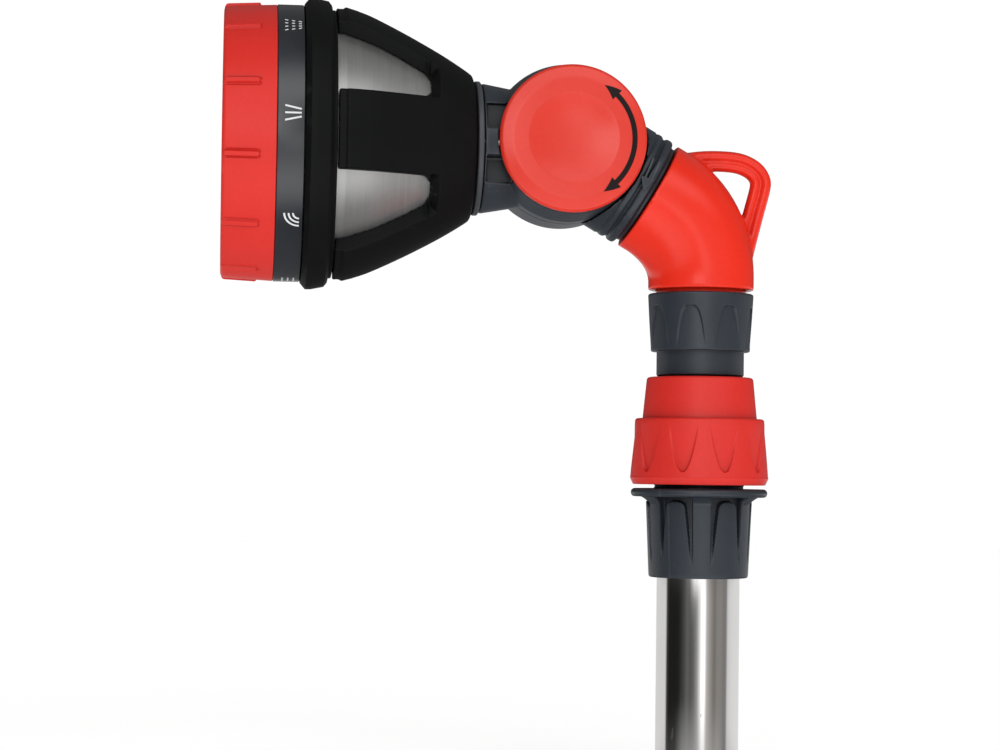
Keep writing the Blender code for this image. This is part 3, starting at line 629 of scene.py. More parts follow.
nut_profile = rounded([
    (13.6, 85.7, .2), (19.8, 85.7, 1.15), (19.8, 83.3, 1.1), (17.0, 83.28),
], closed=False)
nut_profile += [(NUT_SIDE_R, z) for z in np.arange(83.2, 61.25, -0.26)]
nut_profile += rounded([
    (14.45, 61.2), (14.35, 60.0, 1.0), (12.4, 60.0, .2), (12.4, 61.6), (13.6, 61.6),
], closed=False)
stand(lathe("nut_shell", nut_profile, 660, AT_TUBE, DARK, push=nut_push),
      "nut", "dark_plastic", "clamp_nut")

# ===================================================================== elbow
COLLAR_TOP_R = 15.35  # the elbow starts flush with the collar
collar_petals = petals(tip=138.4, top=125.6, width=9.0, depth=0.70, count=8, first=23.3,
                       length=12.6, power=3.6)


def collar_push(radius, height, angle):
    skin = (height > 125.7) & (height < 141.0) & (radius > 13.9)
    return np.where(skin, collar_petals(radius, height, angle), radius)


stand(lathe("adaptor_shell", divided(rounded([
    (13.25, 142.3), (COLLAR_TOP_R, 142.3, .6), (15.0, 136.0), (14.4, 125.5, .45),
    (12.7, 125.5, .3), (12.7, 118.35, .5), (8.9, 118.3), (8.9, 109.4), (7.5, 109.2),
    (7.5, 105.8), (8.9, 105.6), (8.9, 100.2), (7.3, 100.2), (7.3, 97.4), (8.9, 97.4),
    (8.0, 95.0), (5.8, 95.0), (5.8, 126.4), (13.25, 126.4),
]), 0.24, where=lambda radius, height: radius > 14.2 and 125.8 < height < 141.4),
    560, AT_TUBE, DARK, push=collar_push), "elbow", "dark_plastic", "adaptor_nipple")

# The elbow's centre line runs up the tube axis, round an arc, and back along the neck axis.
PIVOT_X, PIVOT_Z = (PIVOT.x - TUBE_FOOT.x) / MM, PIVOT.z / MM
NECK_RUN, NECK_DROP = NECK.x, -NECK.z
MEET_ALONG = -PIVOT_X / NECK_RUN  # distance down the neck axis to the tube axis
MEET_Z = PIVOT_Z - MEET_ALONG * NECK_DROP
BEND_R = 26.5
BEND = math.acos(NECK_DROP)
TANGENT = BEND_R * math.tan(BEND / 2)
ARC_Z = MEET_Z - TANGENT


def elbow_line(foot, last):
    """(x, z) points from a height on the tube axis to a distance along the neck axis."""
    points = [(0.0, z) for z in np.linspace(foot, ARC_Z, 4)[:-1]]
    points += [(-BEND_R + BEND_R * math.cos(a), ARC_Z + BEND_R * math.sin(a))
               for a in np.linspace(0, BEND, 40)]
    points += [(PIVOT_X + along * NECK_RUN, PIVOT_Z - along * NECK_DROP)
               for along in np.linspace(MEET_ALONG - TANGENT, last, 5)[1:]]
    return points


ELBOW_SWELL = 1.38
BORE_R = 10.2
unit_ring = [(math.cos(a), math.sin(a)) for a in np.linspace(0, 2 * math.pi, 96, endpoint=False)]
path = elbow_line(143.4, 28.1)
swell = 0.5 - 0.5 * np.cos(math.pi * np.clip(np.linspace(0, 1, len(path)) * 1.25, 0, 1))
elbow = sweep(path, unit_ring, AT_TUBE, "elbow_shell", size=COLLAR_TOP_R + ELBOW_SWELL * swell)
# Loop bar's line as (x, z) in the tube frame.
LOOP = [(-7.0, 180.2), (0.0, 181.2), (6.5, 181.35), (11.4, 180.75), (15.2, 178.9),
        (17.15, 176.3), (17.25, 173.6), (15.3, 166.0), (13.4, 158.5), (11.6, 151.0)]
loop_line = smooth_path(LOOP, 90)
# The bar has a round outer bead and a slimmer inner one with a groove between them:
# (offset outward, half thickness outward, half width across).
BEADS = [(1.35, 1.72, 2.7), (-1.55, 1.50, 2.25)]
bars = [sweep(loop_line, [(offset + thick * math.cos(a), wide * math.sin(a))
                          for a in np.linspace(0, 2 * math.pi, 40, endpoint=False)], AT_TUBE)
        for offset, thick, wide in BEADS]
combine(elbow, bars, "UNION")
combine(elbow, [rod(12.95, 128.7, 147.0, AT_TUBE, 72)], "UNION")
bore = elbow_line(120.0, 22.0)
combine(elbow, [sweep(bore, unit_ring, AT_TUBE, size=[BORE_R] * len(bore)),
                rod(12.35, 26.0, 41.6, AT_NECK, 96)])
settle(elbow, ORANGE, voxel=0.34, smooth=12, sharp=70)
stand(elbow, "elbow", "orange_red_plastic", "elbow_pipe")

# ====================================================================== neck
# Each half of the knuckle is a drum on the pivot: the rear on +Y, the front on -Y.
DRUM_R = 22.8
DRUM_CLEAR_R = 23.1
CAP_SEAT_R, CAP_SEAT = 21.5, 16.46  # pocket radius and its floor's distance from the middle
CAP_R = 21.1
PIVOT_BORE_R = 9.4
DUCT_R, DUCT_Y = 4.2, -8.3  # off-centre bore in each half, on opposite sides of the middle

rear = lathe("rear_knuckle_shell", rounded([
    (0.0, 40.6), (10.6, 40.6, .2), (10.6, 38.0), (12.0, 38.0, .2), (12.0, 36.1), (10.5, 36.1),
    (10.5, 34.3), (12.0, 34.3), (12.0, 32.1), (10.5, 32.1), (10.5, 30.3), (12.0, 30.3),
    (12.0, 27.8), (15.3, 27.8, .3), (15.3, 26.5, .15), (16.95, 26.3, .9), (16.95, 24.0, .9),
    (15.6, 23.7, .15), (16.9, 22.7, .6), (16.9, 21.3, .1), (16.45, 21.1, .1), (16.45, 20.7, .1),
    (16.9, 20.5, .1), (16.9, 4.0), (0.0, 4.0),
], closed=False), 128, AT_NECK, DARK, closed=False)
drum = lathe("rear_drum", rounded([
    (0.0, 1.5), (DRUM_R, 1.5), (DRUM_R, -16.4, .9), (0.0, -16.4),
], closed=False), 128, AT_PIVOT, closed=False)
combine(rear, [drum], "UNION")
combine(rear, [
    loft([circle(DRUM_CLEAR_R, -0.15, 120), circle(DRUM_CLEAR_R, 6.0, 120),
          circle(21.65, 16.4, 120), circle(21.65, 30.0, 120)], AT_PIVOT),
    rod(CAP_SEAT_R, -30.0, -CAP_SEAT, AT_PIVOT, 96),
    rod(PIVOT_BORE_R, -12.4, 5.0, AT_PIVOT, 64),
    lathe("screw_hole", [
        (0.0, -8.0), (2.4, -8.0), (2.4, -13.9), (4.7, -13.9), (4.7, -20.0), (0.0, -20.0),
    ], 40, AT_PIVOT, closed=False),
    rod(DUCT_R, 2.0, 27.0, AT_NECK, 40, y=DUCT_Y),
    rod(8.5, 25.6, 45.0, AT_NECK, 64),
])
settle(rear, DARK, voxel=0.30, smooth=3, sharp=60)
stand(rear, "neck", "dark_plastic", "rear_knuckle")

stand(lathe("rear_cap_disc", rounded([
    (0.0, -16.7), (CAP_R, -16.7, .2), (CAP_R, -17.95, .5), (20.2, -18.5, 1.0),
    (14.6, -19.25, 1.0), (14.1, -18.9, .2), (13.5, -18.9, .2), (13.0, -19.3, .4),
    (12.2, -19.3, 1.0), (6.0, -18.8, 2.0), (0.0, -18.7),
], closed=False), 192, AT_PIVOT, CAP_RED, closed=False), "neck", "red_plastic", "rear_cap")


def on_neck(along, across, height):
    """along is millimetres round the neck, across the height on its axis."""
    return ring_point(AT_NECK, 16.95 + height, math.pi / 2 - along / 17.0, across)


# Raised turning mark on the neck, half on the body and half on its ring.
stand(ribbons("turning_mark", [
    (line((7.6, 22.7), (0.9, 23.3), 10), 0.24),
    (line((7.6, 24.7), (0.9, 25.3), 10), 0.24),
    (line((1.4, 24.0), (-2.4, 24.8), 8), [1.9, 1.7, 1.46, 1.22, 0.98, 0.74, 0.5, 0.27, 0.04]),
], on_neck, DARK, top=0.42, base=-1.3), "neck", "dark_plastic")

# ====================================================================== head
# Heights in the head frame grow towards the spray face.
SCREWS = ((16.6, 0.0), (-16.6, 0.0), (0.0, -15.6))


def screw_holes(radius, low, high):
    return [rod(radius, low, high, AT_HEAD, 24, x, y) for x, y in SCREWS]


front = lathe("front_knuckle_shell", divided(rounded([
    (0.0, 25.2), (18.65, 25.2, .4), (18.7, 24.4, .2), (16.5, 12.0), (16.3, 5.0), (0.0, 5.0),
], closed=False), 2.0, closed=False), 128, AT_HEAD, DARK, closed=False)
drum = lathe("front_drum", rounded([
    (0.0, 16.4), (21.2, 16.4, .3), (DRUM_R, 6.0, 3.0), (DRUM_R, -1.5), (0.0, -1.5),
], closed=False), 128, AT_PIVOT, closed=False)
combine(front, [drum], "UNION")
# A block on the -Y side of the shell, with a pocket along each side of it.
RIB_HALF = 3.8
combine(front, [block((-RIB_HALF, -18.1, 12.0), (RIB_HALF, -12.0, 24.7), AT_HEAD)], "UNION")
cuts = [
    rod(DRUM_CLEAR_R, -30.0, 0.15, AT_PIVOT, 128),
    rod(CAP_SEAT_R, CAP_SEAT, 30.0, AT_PIVOT, 96),
    lathe("front_bore", [(PIVOT_BORE_R, 12.4), (PIVOT_BORE_R, -5.0), (4.2, -5.0), (4.2, 12.4)],
          64, AT_PIVOT),
    rod(6.0, -5.0, 2.0, AT_PIVOT, 40),
    rod(2.35, -5.0, 10.0, AT_PIVOT, 32),
    rod(DUCT_R, 7.0, 30.0, AT_HEAD, 40, y=DUCT_Y),
]
for low, high in ((RIB_HALF, 11.4), (-11.4, -RIB_HALF)):
    cuts.append(block((low, -25.0, 16.4), (high, -11.4, 24.65), AT_HEAD))
combine(front, cuts + screw_holes(1.4, 19.9, 30.0))
settle(front, DARK, voxel=0.30, smooth=3, sharp=60)
stand(front, "head", "dark_plastic", "front_knuckle")

bowl = [(radius, 18.05 + 1.45 * (radius / 12.6) ** 2) for radius in np.linspace(0, 12.3, 16)]
cap_profile = bowl + rounded([
    (12.35, 19.44), (13.0, 19.55, 1.0), (17.4, 19.36, 6.0),
    (20.5, 18.6, 1.2), (CAP_R, 17.8, .4), (CAP_R, 16.7, .15), (0.0, 16.7),
], closed=False, step=3.0)
stand(lathe("front_cap_disc", cap_profile, 192, AT_PIVOT, CAP_RED, closed=False),
      "head", "red_plastic", "front_cap")

ARROW_R = 17.4
crown_r, crown_h = np.array([point for point in cap_profile if point[1] > 17.9]).T


def on_cap(along, across, height):
    """along is millimetres round from +X towards +Z, across the distance out from ARROW_R."""
    radius = ARROW_R + across
    return ring_point(AT_PIVOT, radius, along / ARROW_R,
                      float(np.interp(radius, crown_r, crown_h)) + height)


def arrow_line(first, last, count):
    """Line along the arrow's circle between two angles in degrees."""
    return line((math.radians(first) * ARROW_R, 0.0), (math.radians(last) * ARROW_R, 0.0), count)


# Double-headed tilt arrow: a curved shaft and a tapering head at each end.
arrow = [(arrow_line(-47, 47, 60), 0.75)]
for way in (1, -1):
    arrow.append((arrow_line(45.5 * way, 60.5 * way, 10),
                  [1.85 * (1 - i / 10) + 0.03 for i in range(11)]))
stand(ribbons("tilt_arrow_print", arrow, on_cap, BLACK_INK, top=0.06, base=-0.2),
      "head", "red_plastic")

core = lathe("core_flange_shell", rounded([
    (32.8, 66.5, .3), (32.8, 63.4, .3), (12.5, 55.5), (11.9, 50.0), (11.9, 27.25),
    (19.4, 27.25, .6), (19.4, 25.45, .6), (14.5, 25.45), (14.5, 26.7), (12.7, 26.7),
    (12.7, 25.5), (12.2, 25.5), (8.5, 29.5), (8.5, 50.0), (10.5, 57.0),
    (29.0, 63.8), (3.8, 63.8), (3.8, 57.0), (1.85, 57.0), (1.85, 66.5),
]), 96, AT_HEAD, GREY)
BIG_BOSS_X, SMALL_BOSS_X = -19.0, 27.0
combine(core, [rod(6.2, 58.4, 66.5, AT_HEAD, 40, BIG_BOSS_X),
               rod(3.9, 57.6, 66.5, AT_HEAD, 32, SMALL_BOSS_X)], "UNION")
combine(core, [rod(4.6, 60.2, 70.0, AT_HEAD, 40, BIG_BOSS_X),
               rod(3.0, 54.0, 61.0, AT_HEAD, 32, BIG_BOSS_X),
               rod(2.6, 59.0, 70.0, AT_HEAD, 32, SMALL_BOSS_X)]
        + screw_holes(1.5, 22.0, 30.0))
settle(core, GREY)
stand(core, "head", "grey_plastic", "head_core")

# Black overmould: five webs that run from the collar at the knuckle to the rim, with
# windows whose wall at the collar end slopes.
CAGE_SKIN = [(20.4, 27.9), (21.5, 28.7), (25.1, 34.3), (28.3, 39.9), (32.7, 48.3),
             (36.7, 56.7), (38.5, 61.5)]  # (radius, height) up the webs
cage_profile = rounded([
    (36.0, 67.3), (39.15, 67.3, .55), (38.85, 66.3, .2), (39.0, 65.75, .2), (38.4, 65.55, .12),
    (38.35, 65.2, .1), (39.5, 65.0, .45), CAGE_SKIN[-1],
], closed=False)
cage_profile += [tuple(point) for point in smooth_path(CAGE_SKIN, 40)[::-1][1:]]
cage_profile += [(19.3, 27.5), (18.7, 27.4), (12.3, 27.4), (12.3, 30.2), (19.0, 30.2),
                 (19.7, 33.0), (24.1, 39.9), (28.5, 48.3), (32.5, 56.7), (35.5, 65.6),
                 (35.5, 67.3)]
cage = lathe("overmould_shell", cage_profile, 160, AT_HEAD, BLACK)

WINDOWS = 5
HALF = math.pi / WINDOWS
WEB_HALF = 11.0
APEX = WEB_HALF / math.sin(HALF)  # where the two sides of a window would meet
WALL_LOW, WALL_TOP = 37.4, 41.4  # heights of the sloping wall
WALL_OUT, WALL_RUN = 28.2, 3.9  # radius of the wall's low end, and how far it runs in
WINDOW_CORNER = 1.8
WINDOW_GROW = 0.25  # extra half width beside the sloping wall
MIN_HALF = 0.4
WINDOW_END = 60.0  # radius beyond the skin


def window_ring(height):
    sloping = height <= WALL_TOP
    depth = height - (WALL_LOW if sloping else WALL_TOP)
    inset = WINDOW_CORNER - math.sqrt(
        max(0.0, WINDOW_CORNER ** 2 - (WINDOW_CORNER - min(depth, WINDOW_CORNER)) ** 2))
    if sloping:
        start = WALL_OUT - depth / (WALL_TOP - WALL_LOW) * WALL_RUN
    else:
        start = APEX + (MIN_HALF + inset / math.cos(HALF)) / math.tan(HALF)
    grow = WINDOW_GROW if sloping else 0.0
    near, far = [(x - APEX) * math.tan(HALF) - inset / math.cos(HALF) + grow
                 for x in (start, WINDOW_END)]
    near = max(near, MIN_HALF)
    return [(start, -near, height), (WINDOW_END, -far, height),
            (WINDOW_END, far, height), (start, near, height)]


window_levels = [*(WALL_LOW + (WALL_TOP - WALL_LOW) * np.linspace(0, 1, 12)), 41.401,
                 *(WALL_TOP + WINDOW_CORNER * np.linspace(0.04, 1, 14)), 90.0]
cutters = [loft([window_ring(height) for height in window_levels],
                spun(AT_HEAD, -90 + 36 + 72 * k)) for k in range(WINDOWS)]
combine(cage, cutters)
combine(cage, screw_holes(1.5, 22.0, 31.0))
settle(cage, BLACK, voxel=0.33, smooth=3, sharp=60)
stand(cage, "head", "black_overmould", "grip_cage")

SHROUD_R, SHROUD_WALL = 35.2, 1.0
shroud_curve = smooth_path([
    (SHROUD_R, 65.6), (32.2, 56.7), (28.2, 48.3), (23.8, 39.9), (22.6, 38.0),
], 40)
shroud_out = [(SHROUD_R, 76.2)] + [tuple(point) for point in shroud_curve]
shroud_in = [(radius - SHROUD_WALL, height) for radius, height in reversed(shroud_out)]
stand(lathe("shroud_shell", shroud_out + [(21.6, 38.2)] + shroud_in, 224, AT_HEAD, SHROUD),
      "head", "silver_shroud", "metal_shroud")

stand(lathe("bumper_shell", rounded([
    (35.55, 76.4, .2), (39.9, 76.4, .5), (41.7, 74.9, .5), (41.65, 73.2, .5), (40.9, 69.6, .5),
    (39.8, 68.72, .3), (38.4, 68.7, .2), (38.4, 67.6, .2), (35.55, 67.6, .2),
], step=9.0), 256, AT_HEAD, BLACK), "head", "black_overmould", "bumper_ring")

# ====================================================================== dial
DIAL_R = 39.6
stand(lathe("dial_shell", rounded([
    (DIAL_R, 84.12, .25), (DIAL_R, 76.7, .2), (35.7, 76.7, .2), (35.7, 84.12, .2),
]), 256, AT_HEAD, DIAL_DARK), "dial", "dial_plastic", "dial_ring")

# Low bars on the bezel, run out at the face corner and round-ended at the other end.
BARS, FIRST_BAR = 12, 18.6
BAR_HALF, BAR_START = 0.85, 88.7


def bezel_push(radius, height, angle):
    arc = np.abs(fold(angle, from_front(FIRST_BAR), BARS)) * 39.0
    side = BAR_HALF - arc
    end = height - BAR_START
    near = (side < BAR_HALF) & (end < BAR_HALF)
    round_end = BAR_HALF - np.hypot(BAR_HALF - side, np.maximum(BAR_HALF - end, 0))
    inside = np.where(near, round_end, side)
    inside = np.where(end < 0, -1.0, inside)
    lift = 0.72 * ease(inside / 0.36 + 0.15) * ease((99.3 - height) / 1.1 + 0.25)
    moat = 0.26 * np.exp(-((inside + 0.25) / 0.22) ** 2) * (inside < 0.1) * ease(98.6 - height)
    return np.where(radius > 38.0, radius + lift - moat, radius)


bar_degrees = [FIRST_BAR + 30.0 * k - 90.0 for k in range(BARS)]
stand(lathe("bezel_shell", divided(rounded([
    (35.8, 99.2, .4), (38.72, 99.2, 1.7), (38.85, 96.5), (39.5, 84.2, .35),
    (37.1, 84.2), (37.1, 97.5), (35.8, 97.5),
], step=8.0), 0.3, where=lambda radius, height: radius > 37.6 and height > 87.0),
    angles_near(bar_degrees, half=2.9, step=0.16, coarse=1.4), AT_HEAD, RED, push=bezel_push),
    "dial", "red_plastic", "bezel_ring")


# Pattern symbols, pad-printed round the dial. In their strokes the first number runs up the
# side of the dial and the second towards the spray face.
def on_dial(along, across, height):
    return ring_point(AT_HEAD, DIAL_R + height, along / DIAL_R, across)


def arc_points(x, y, radius, first, last, count=10):
    return [(x + radius * math.cos(a), y + radius * math.sin(a))
            for a in np.radians(np.linspace(first, last, count + 1))]


shower = []
for col, level in enumerate((81.8, 79.9, 78.0)):
    for row in range(4):
        x = (row - 1.5) * 1.75 * (1.0 - 0.16 * col)
        tilt = (row - 1.5) * 0.14
        shower.append(line((x - tilt, level - 0.42), (x + tilt, level + 0.42), 2))
dots = []
for i in range(5):
    for j in range(3):
        x, y = (i - 2) * 1.1, 78.4 + j * 1.6
        dots.append(line((x - 0.25, y), (x + 0.25, y), 2))
# (name, degrees up from the -Y side, half width of a stroke, strokes)
SYMBOLS = [
    ("symbol_shower", 49.2, 0.21, shower),
    ("symbol_rays", 5.2, 0.25, [line((1.05, 77.6), (2.05, 82.1)), line((0.0, 77.6), (0.0, 82.1)),
                                line((-1.05, 77.6), (-2.05, 82.1))]),
    ("symbol_arcs", -38.5, 0.25, [arc_points(1.9, 77.7, radius, 90, 180, 12)
                                  for radius in (1.7, 2.9, 4.1)]),
    ("symbol_dots", -84.0, 0.22, dots),
    ("symbol_cone", 94.5, 0.22, [line((0.0, 77.8), (2.2, 82.0)), line((0.0, 77.8), (-2.2, 82.0)),
                                 arc_points(0.0, 77.8, 4.7, 62, 118, 8)]),
    ("symbol_jet", 139.5, 0.45, [line((0.0, 77.8), (0.0, 82.4))]),
    ("symbol_flat", 184.5, 0.18, [line((0.0, 77.9), (x, 82.2)) for x in (-2.4, -0.8, 0.8, 2.4)]),
    ("symbol_soak", 229.5, 0.18, [arc_points(x, 80.2, 0.75, 0, 360, 14)
                                  for x in (-1.9, 0.0, 1.9)]),
]
for name, degrees, half, strokes in SYMBOLS:
    centre = from_front(degrees) * DIAL_R
    laid = [([(centre + x, y) for x, y in points], half) for points in strokes]
    stand(ribbons(name, laid, on_dial, WHITE_INK, top=0.05, base=-0.2), "dial", "dial_plastic")

# Spray face: a dished plate in eight sectors, each with its own outlets.
SECTORS, SECTOR = 8, 45.0
CUT_LOW, CUT_HIGH = 93.0, 99.0  # heights the outlet cutters span
plate = lathe("face_plate", rounded([
    (36.7, 97.1, .3), (36.7, 95.0, .2), (6.2, 95.0), (6.2, 97.1), (8.8, 97.1, .3),
    (9.6, 96.5, .3), (33.0, 96.2, .4), (34.2, 97.1, .4),
]), 160, AT_HEAD, FACE)
combine(plate, [block((8.2, -0.55, 95.6), (34.8, 0.55, 97.0), spun(AT_HEAD, SECTOR * k))
                for k in range(SECTORS)], "UNION")


def pin_cutter(items):
    """One mesh of separate pins (x, y, radius)."""
    verts, faces = [], []
    count = 14
    for x, y, radius in items:
        a = len(verts)
        for height in (CUT_LOW, CUT_HIGH):
            verts += circle(radius, height, count, x, y)
        for j in range(count):
            k = (j + 1) % count
            faces.append((a + j, a + k, a + count + k, a + count + j))
        faces.append(tuple(a + j for j in reversed(range(count))))
        faces.append(tuple(a + count + j for j in range(count)))
    return mesh_piece("pins", verts, faces, AT_HEAD)


def polar(radius, degrees):
    return radius * math.cos(math.radians(degrees)), radius * math.sin(math.radians(degrees))


def sector_middle(k):
    return 22.5 + SECTOR * k


def pin_row(middle, radius, count, pitch, size):
    """Holes along an arc, spaced by a pitch in degrees."""
    return [(*polar(radius, middle + (i - (count - 1) / 2) * pitch), size) for i in range(count)]


MIST_R, RING_R = 20.0, 21.5  # distance of these outlets from the axis
pins, slots = [], []  # slots are (degrees, inner radius, outer radius, half width)
for k in range(SECTORS):
    mid = sector_middle(k)
    if k in (0, 4):
        for radius, count in ((13.0, 3), (17.0, 4), (21.0, 5), (25.0, 6), (29.0, 7)):
            for i in range(count):
                pins.append((*polar(radius, mid + (i - (count - 1) / 2) * 33.0 / count), 0.62))
    elif k == 1:
        pins += [(*polar(21.0, mid + turn), 0.9) for turn in (-9, 0, 9)]
        pins += [(*polar(26.0, mid + turn), 0.9) for turn in (-10, -3.3, 3.3, 10)]
    elif k == 2:
        pins.append((*polar(MIST_R, mid), 2.3))
    elif k == 3:
        pins += pin_row(mid, radius=29.5, count=9, pitch=3.9, size=0.7)
        pins += pin_row(mid, radius=24.0, count=6, pitch=5.2, size=0.7)
    elif k == 5:
        slots += [(mid + (i - 1) * 11.0, 16.0, 29.0, 0.55) for i in range(3)]
    elif k == 6:
        slots.append((mid, 14.0, 30.0, 0.8))
    else:
        x, y = polar(RING_R, mid)
        for i in range(10):
            turn = 2 * math.pi * i / 10
            pins.append((x + 4.8 * math.cos(turn), y + 4.8 * math.sin(turn), 0.6))
        pins.append((x, y, 1.2))
outlets = [pin_cutter(pins)]
for degrees, start, end, half in slots:
    outlets.append(block((start, -half, CUT_LOW), (end, half, CUT_HIGH), spun(AT_HEAD, degrees)))
combine(plate, outlets)
settle(plate, FACE, sharp=30)
stand(plate, "dial", "face_plastic", "spray_plate")

# Rims round the larger outlets: (name, distance from the axis, sector, inner and outer radius).
for name, away, k, inner, outer in (("mist_nozzle_rim", MIST_R, 2, 2.35, 3.6),
                                    ("ring_nozzle_rim", RING_R, 7, 5.9, 6.7)):
    x, y = polar(away, sector_middle(k))
    stand(lathe(name, rounded([
        (inner, 97.5, .25), (outer, 97.5, .3), (outer + 0.1, 96.2), (inner, 96.2),
    ]), 64, AT_HEAD @ Matrix.Translation((x * MM, y * MM, 0)), RED), "dial", "red_plastic")

stand(lathe("centre_button", rounded([
    (0.0, 98.95), (3.2, 98.9, 1.5), (6.4, 98.5, 1.0), (8.4, 97.4, .3), (5.9, 97.4),
    (5.9, 93.6), (0.0, 93.6),
], closed=False), 96, AT_HEAD, RED, closed=False), "dial", "red_plastic", "centre_cap")

# -------------------------------------------------- carried-over inner nodes
LOOKS = {
    "tube_seal": RUBBER, "sleeve_spring": STEEL, "locking_jaw_1": PALE, "locking_jaw_2": PALE,
    "locking_jaw_3": PALE, "collet_ring": PALE, "adaptor_flat_seal": RUBBER,
    "nipple_o_ring": RUBBER, "swivel_o_ring_1": RUBBER, "swivel_o_ring_2": RUBBER,
    "swivel_clip": STEEL, "pivot_tube": PALE, "pivot_o_ring_front": RUBBER,
    "pivot_o_ring_rear": RUBBER, "pivot_washer": STEEL, "pivot_screw": STEEL,
    "core_o_ring": RUBBER, "seal_cup": RUBBER, "seal_spring": STEEL, "detent_ball": STEEL,
    "detent_coil": STEEL, "head_screw_1": STEEL, "head_screw_2": STEEL, "head_screw_3": STEEL,
    "pattern_manifold": PALE, "centre_screw": STEEL, "centre_washer": STEEL,
}
for name, material in LOOKS.items():
    node = nodes[name]
    if len(node.data.materials) < 1:
        node.data.materials.append(None)
    for slot in node.material_slots:
        slot.link = "OBJECT"
        slot.material = material

# -------------------------------------------------------------------- stage
FLOOR_HALF, FLOOR_Z = 2500, -0.4
floor = mesh_piece("floor", [(x * FLOOR_HALF, y * FLOOR_HALF, FLOOR_Z)
                             for x, y in ((-1, -1), (1, -1), (1, 1), (-1, 1))],
                   [(0, 1, 2, 3)], Matrix.Identity(4))
floor_material, look, shader = new_look("floor_look")
paper = look.noise(look.coords(), scale=8.0, detail=3.0)
look.fill(shader, {
    "Base Color": look.mixed(look.remap(paper, span=(0.3, 0.7), to=(0, 1)),
                             first=(0.90, 0.90, 0.90), second=(0.93, 0.93, 0.93)),
    "Roughness": 0.9, "Specular IOR Level": 0.0,
    "Emission Strength": 0.56, "Emission Color": (1.0, 1.0, 1.0),
})
floor.data.materials.append(floor_material)
floor.visible_glossy = False

# Tent lighting: the camera sees white; glossy surfaces see a ring of panels and flags.
world = bpy.data.worlds.new("tent")
bpy.context.scene.world = world
world.use_nodes = True
tent = Graph(world.node_tree)
tent.tree.nodes.clear()
output = tent.node("OutputWorld")
direction = tent.node("TexCoord").outputs["Generated"]
axes = tent.node("SeparateXYZ", {0: direction}).outputs
minus_y = tent.maths("MULTIPLY", axes["Y"], -1.0)
azimuth = tent.maths("ARCTAN2", axes["X"], minus_y)
azimuth = tent.remap(azimuth, span=(-math.pi, math.pi), to=(0.0, 1.0))
# (degrees, brightness): the first two by azimuth from -Y towards +X, below and above the
# horizon; the last by elevation, for the panels in front.
PANELS = [
    (-180, .67), (-111, .66), (-104, .045), (-95, .012), (-75, .012), (-65, .014), (-58, .026),
    (-48, .060), (-38, .115), (-30, .085), (-20, .13), (-10.5, .33), (-3, .8), (1, 1.35),
    (9, 1.35), (12, .8), (16, .45), (27, .27), (37, .165), (47, .232), (58, .23), (69, .19),
    (76, .22), (82, .60), (96, .70), (113, .72), (150, .72), (180, .67)]
HIGH = [
    (-180, .05), (-90, .06), (-50, .08), (-33, .3), (-20, 2.4), (-6, 2.2), (1, .65), (8, .55),
    (16, .25), (25, .12), (60, .15), (90, .12), (180, .05)]
UPRIGHT = [
    (-90, .1), (-83, .2), (-51, 1.1), (-37, 1.4), (-23, 1.0), (-10, .6), (10, .75), (22, 1.2),
    (40, 1.6), (54, 1.1), (68, .4), (83, .08), (90, .05)]
WARM_SPAN, WARM_TINT = (13, 66), (1.05, 0.985, 0.93)  # azimuths and colour of the warm panels


def ramp_of(stops, factor, position, warm=None):
    ramp = tent.node("ValToRGB")
    elements = ramp.color_ramp.elements
    while len(elements) > 1:
        elements.remove(elements[-1])
    for i, (degrees, value) in enumerate(stops):
        stop = elements[0] if i == 0 else elements.new(position(degrees))
        stop.position = position(degrees)
        tint = WARM_TINT if warm and warm[0] < degrees < warm[1] else (1.0, 1.0, 1.0)
        stop.color = (*(value * part for part in tint), 1.0)
    tent.fill(ramp, {"Fac": factor})
    return ramp.outputs["Color"]


def by_azimuth(degrees):
    return (degrees + 180) / 360


def by_elevation(degrees):
    return (math.sin(math.radians(degrees)) + 1) / 2


level = ramp_of(PANELS, azimuth, by_azimuth, warm=WARM_SPAN)
high = ramp_of(HIGH, azimuth, by_azimuth)
elevation = tent.remap(axes["Z"], span=(-1.0, 1.0), to=(0.0, 1.0))
upright = ramp_of(UPRIGHT, elevation, by_elevation)
rise = tent.remap(axes["Z"], span=(-0.03, 0.03), to=(0.0, 1.0))
glossy_colour = tent.mixed(rise, level, high)
# far above and below the horizon all is dim grey, but for the panels in front
lift = tent.maths("MAXIMUM", tent.remap(axes["Z"], span=(0.30, 0.50), to=(0.0, 1.0)),
                  tent.remap(tent.maths("MULTIPLY", axes["Z"], -1.0),
                             span=(0.13, 0.30), to=(0.0, 1.0)))
in_front = tent.remap(minus_y, span=(0.28, 0.62), to=(0.0, 1.0))
glossy_colour = tent.mixed(lift, glossy_colour, second=(0.16, 0.16, 0.16))
glossy_colour = tent.mixed(tent.maths("MULTIPLY", lift, in_front), glossy_colour, upright)
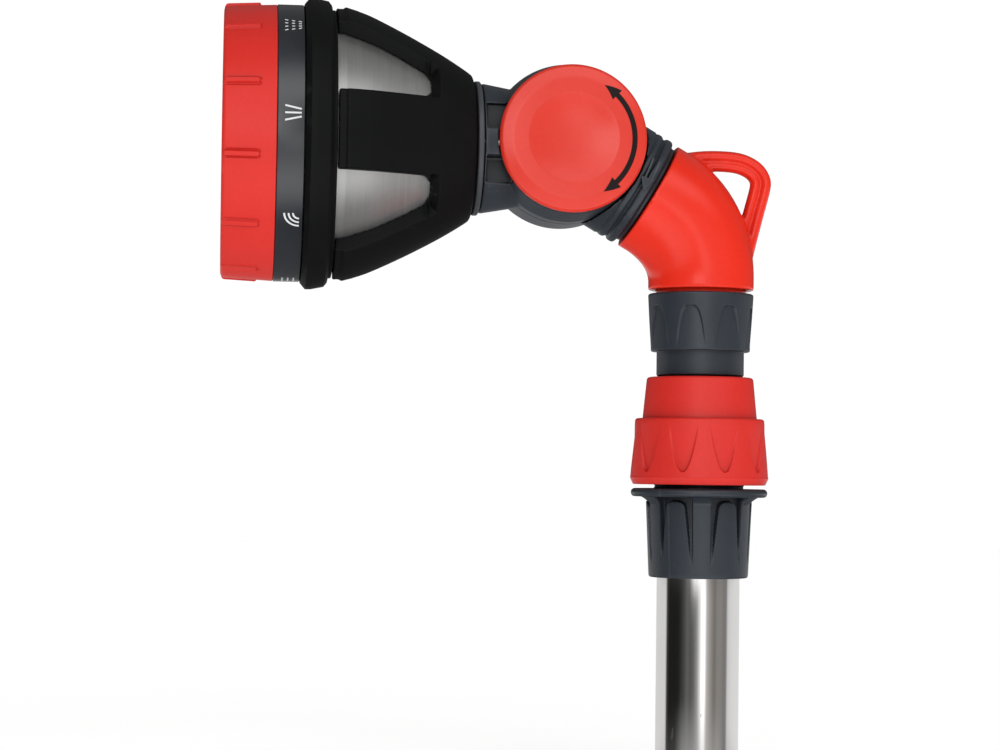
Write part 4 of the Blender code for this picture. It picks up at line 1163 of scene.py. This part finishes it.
# soft light for the matt surfaces: even white, with a broad lobe centred in front, a little
# to the right and below
LOBE_TURN, LOBE_LEVEL, LOBE_RISE = math.radians(9), 0.951, -0.309
LOBE = (math.sin(LOBE_TURN) * LOBE_LEVEL, -math.cos(LOBE_TURN) * LOBE_LEVEL, LOBE_RISE)
LOBE_GAIN, SOFT_BASE, SOFT_GAIN = 2.0, 0.36, 1.0
toward = tent.maths("MULTIPLY", axes["X"], LOBE[0])
for axis, part in zip("YZ", LOBE[1:]):
    toward = tent.maths("ADD", toward, tent.maths("MULTIPLY", axes[axis], part))
toward = tent.maths("MAXIMUM", toward, 0.0)
squared = tent.maths("MULTIPLY", toward, toward)
soft = tent.maths("ADD", tent.maths("MULTIPLY", squared, LOBE_GAIN), SOFT_BASE)
rays = tent.node("LightPath").outputs


def background(colour, strength):
    return tent.node("Background", {"Color": colour, "Strength": strength}).outputs[0]


def mix_shader(factor, first, second):
    return tent.node("MixShader", {0: factor, 1: first, 2: second}).outputs[0]


WHITE = (1.0, 1.0, 1.0)
diffuse_light = background(WHITE, tent.maths("MULTIPLY", soft, SOFT_GAIN))
glossy_light = background(glossy_colour, strength=1.0)
camera_light = background(WHITE, strength=1.02)
both = mix_shader(rays["Is Glossy Ray"], diffuse_light, glossy_light)
tent.fill(output, {"Surface": mix_shader(rays["Is Camera Ray"], both, camera_light)})


def aimed(name, data, location, rotation):
    thing = bpy.data.objects.new(name, data)
    thing.location = location
    thing.rotation_mode = "QUATERNION"
    thing.rotation_quaternion = rotation
    bpy.context.scene.collection.objects.link(thing)
    return thing


KEY_PLACE, KEY_TARGET = (0.35, -0.9, 0.75), (0.0, 0.0, 0.12)
light = bpy.data.lights.new("key", "AREA")
light.shape = "DISK"
light.size = 0.6
light.energy = 0.8
key = aimed("key", light, KEY_PLACE,
            (Vector(KEY_TARGET) - Vector(KEY_PLACE)).to_track_quat("-Z", "Y"))
key.visible_glossy = False

# ------------------------------------------------------------------- camera
CAMERA_PLACE = (-0.0760, -0.7320, 0.0900)
YAW, PITCH, ROLL = math.radians(6.015), math.radians(2.166), math.radians(0.717)
lens = bpy.data.cameras.new("camera")
lens.sensor_width = 36.0
lens.lens = 91.75
lens.clip_start = 0.05
lens.clip_end = 20.0
aim = Vector((math.sin(YAW) * math.cos(PITCH), math.cos(YAW) * math.cos(PITCH), math.sin(PITCH)))
bpy.context.scene.camera = aimed(
    "camera", lens, CAMERA_PLACE,
    aim.to_track_quat("-Z", "Y") @ Quaternion((0, 0, 1), ROLL))

view = bpy.context.scene.view_settings
view.view_transform = "Standard"
view.look = "None"
view.exposure = 0.0
view.gamma = 1.0
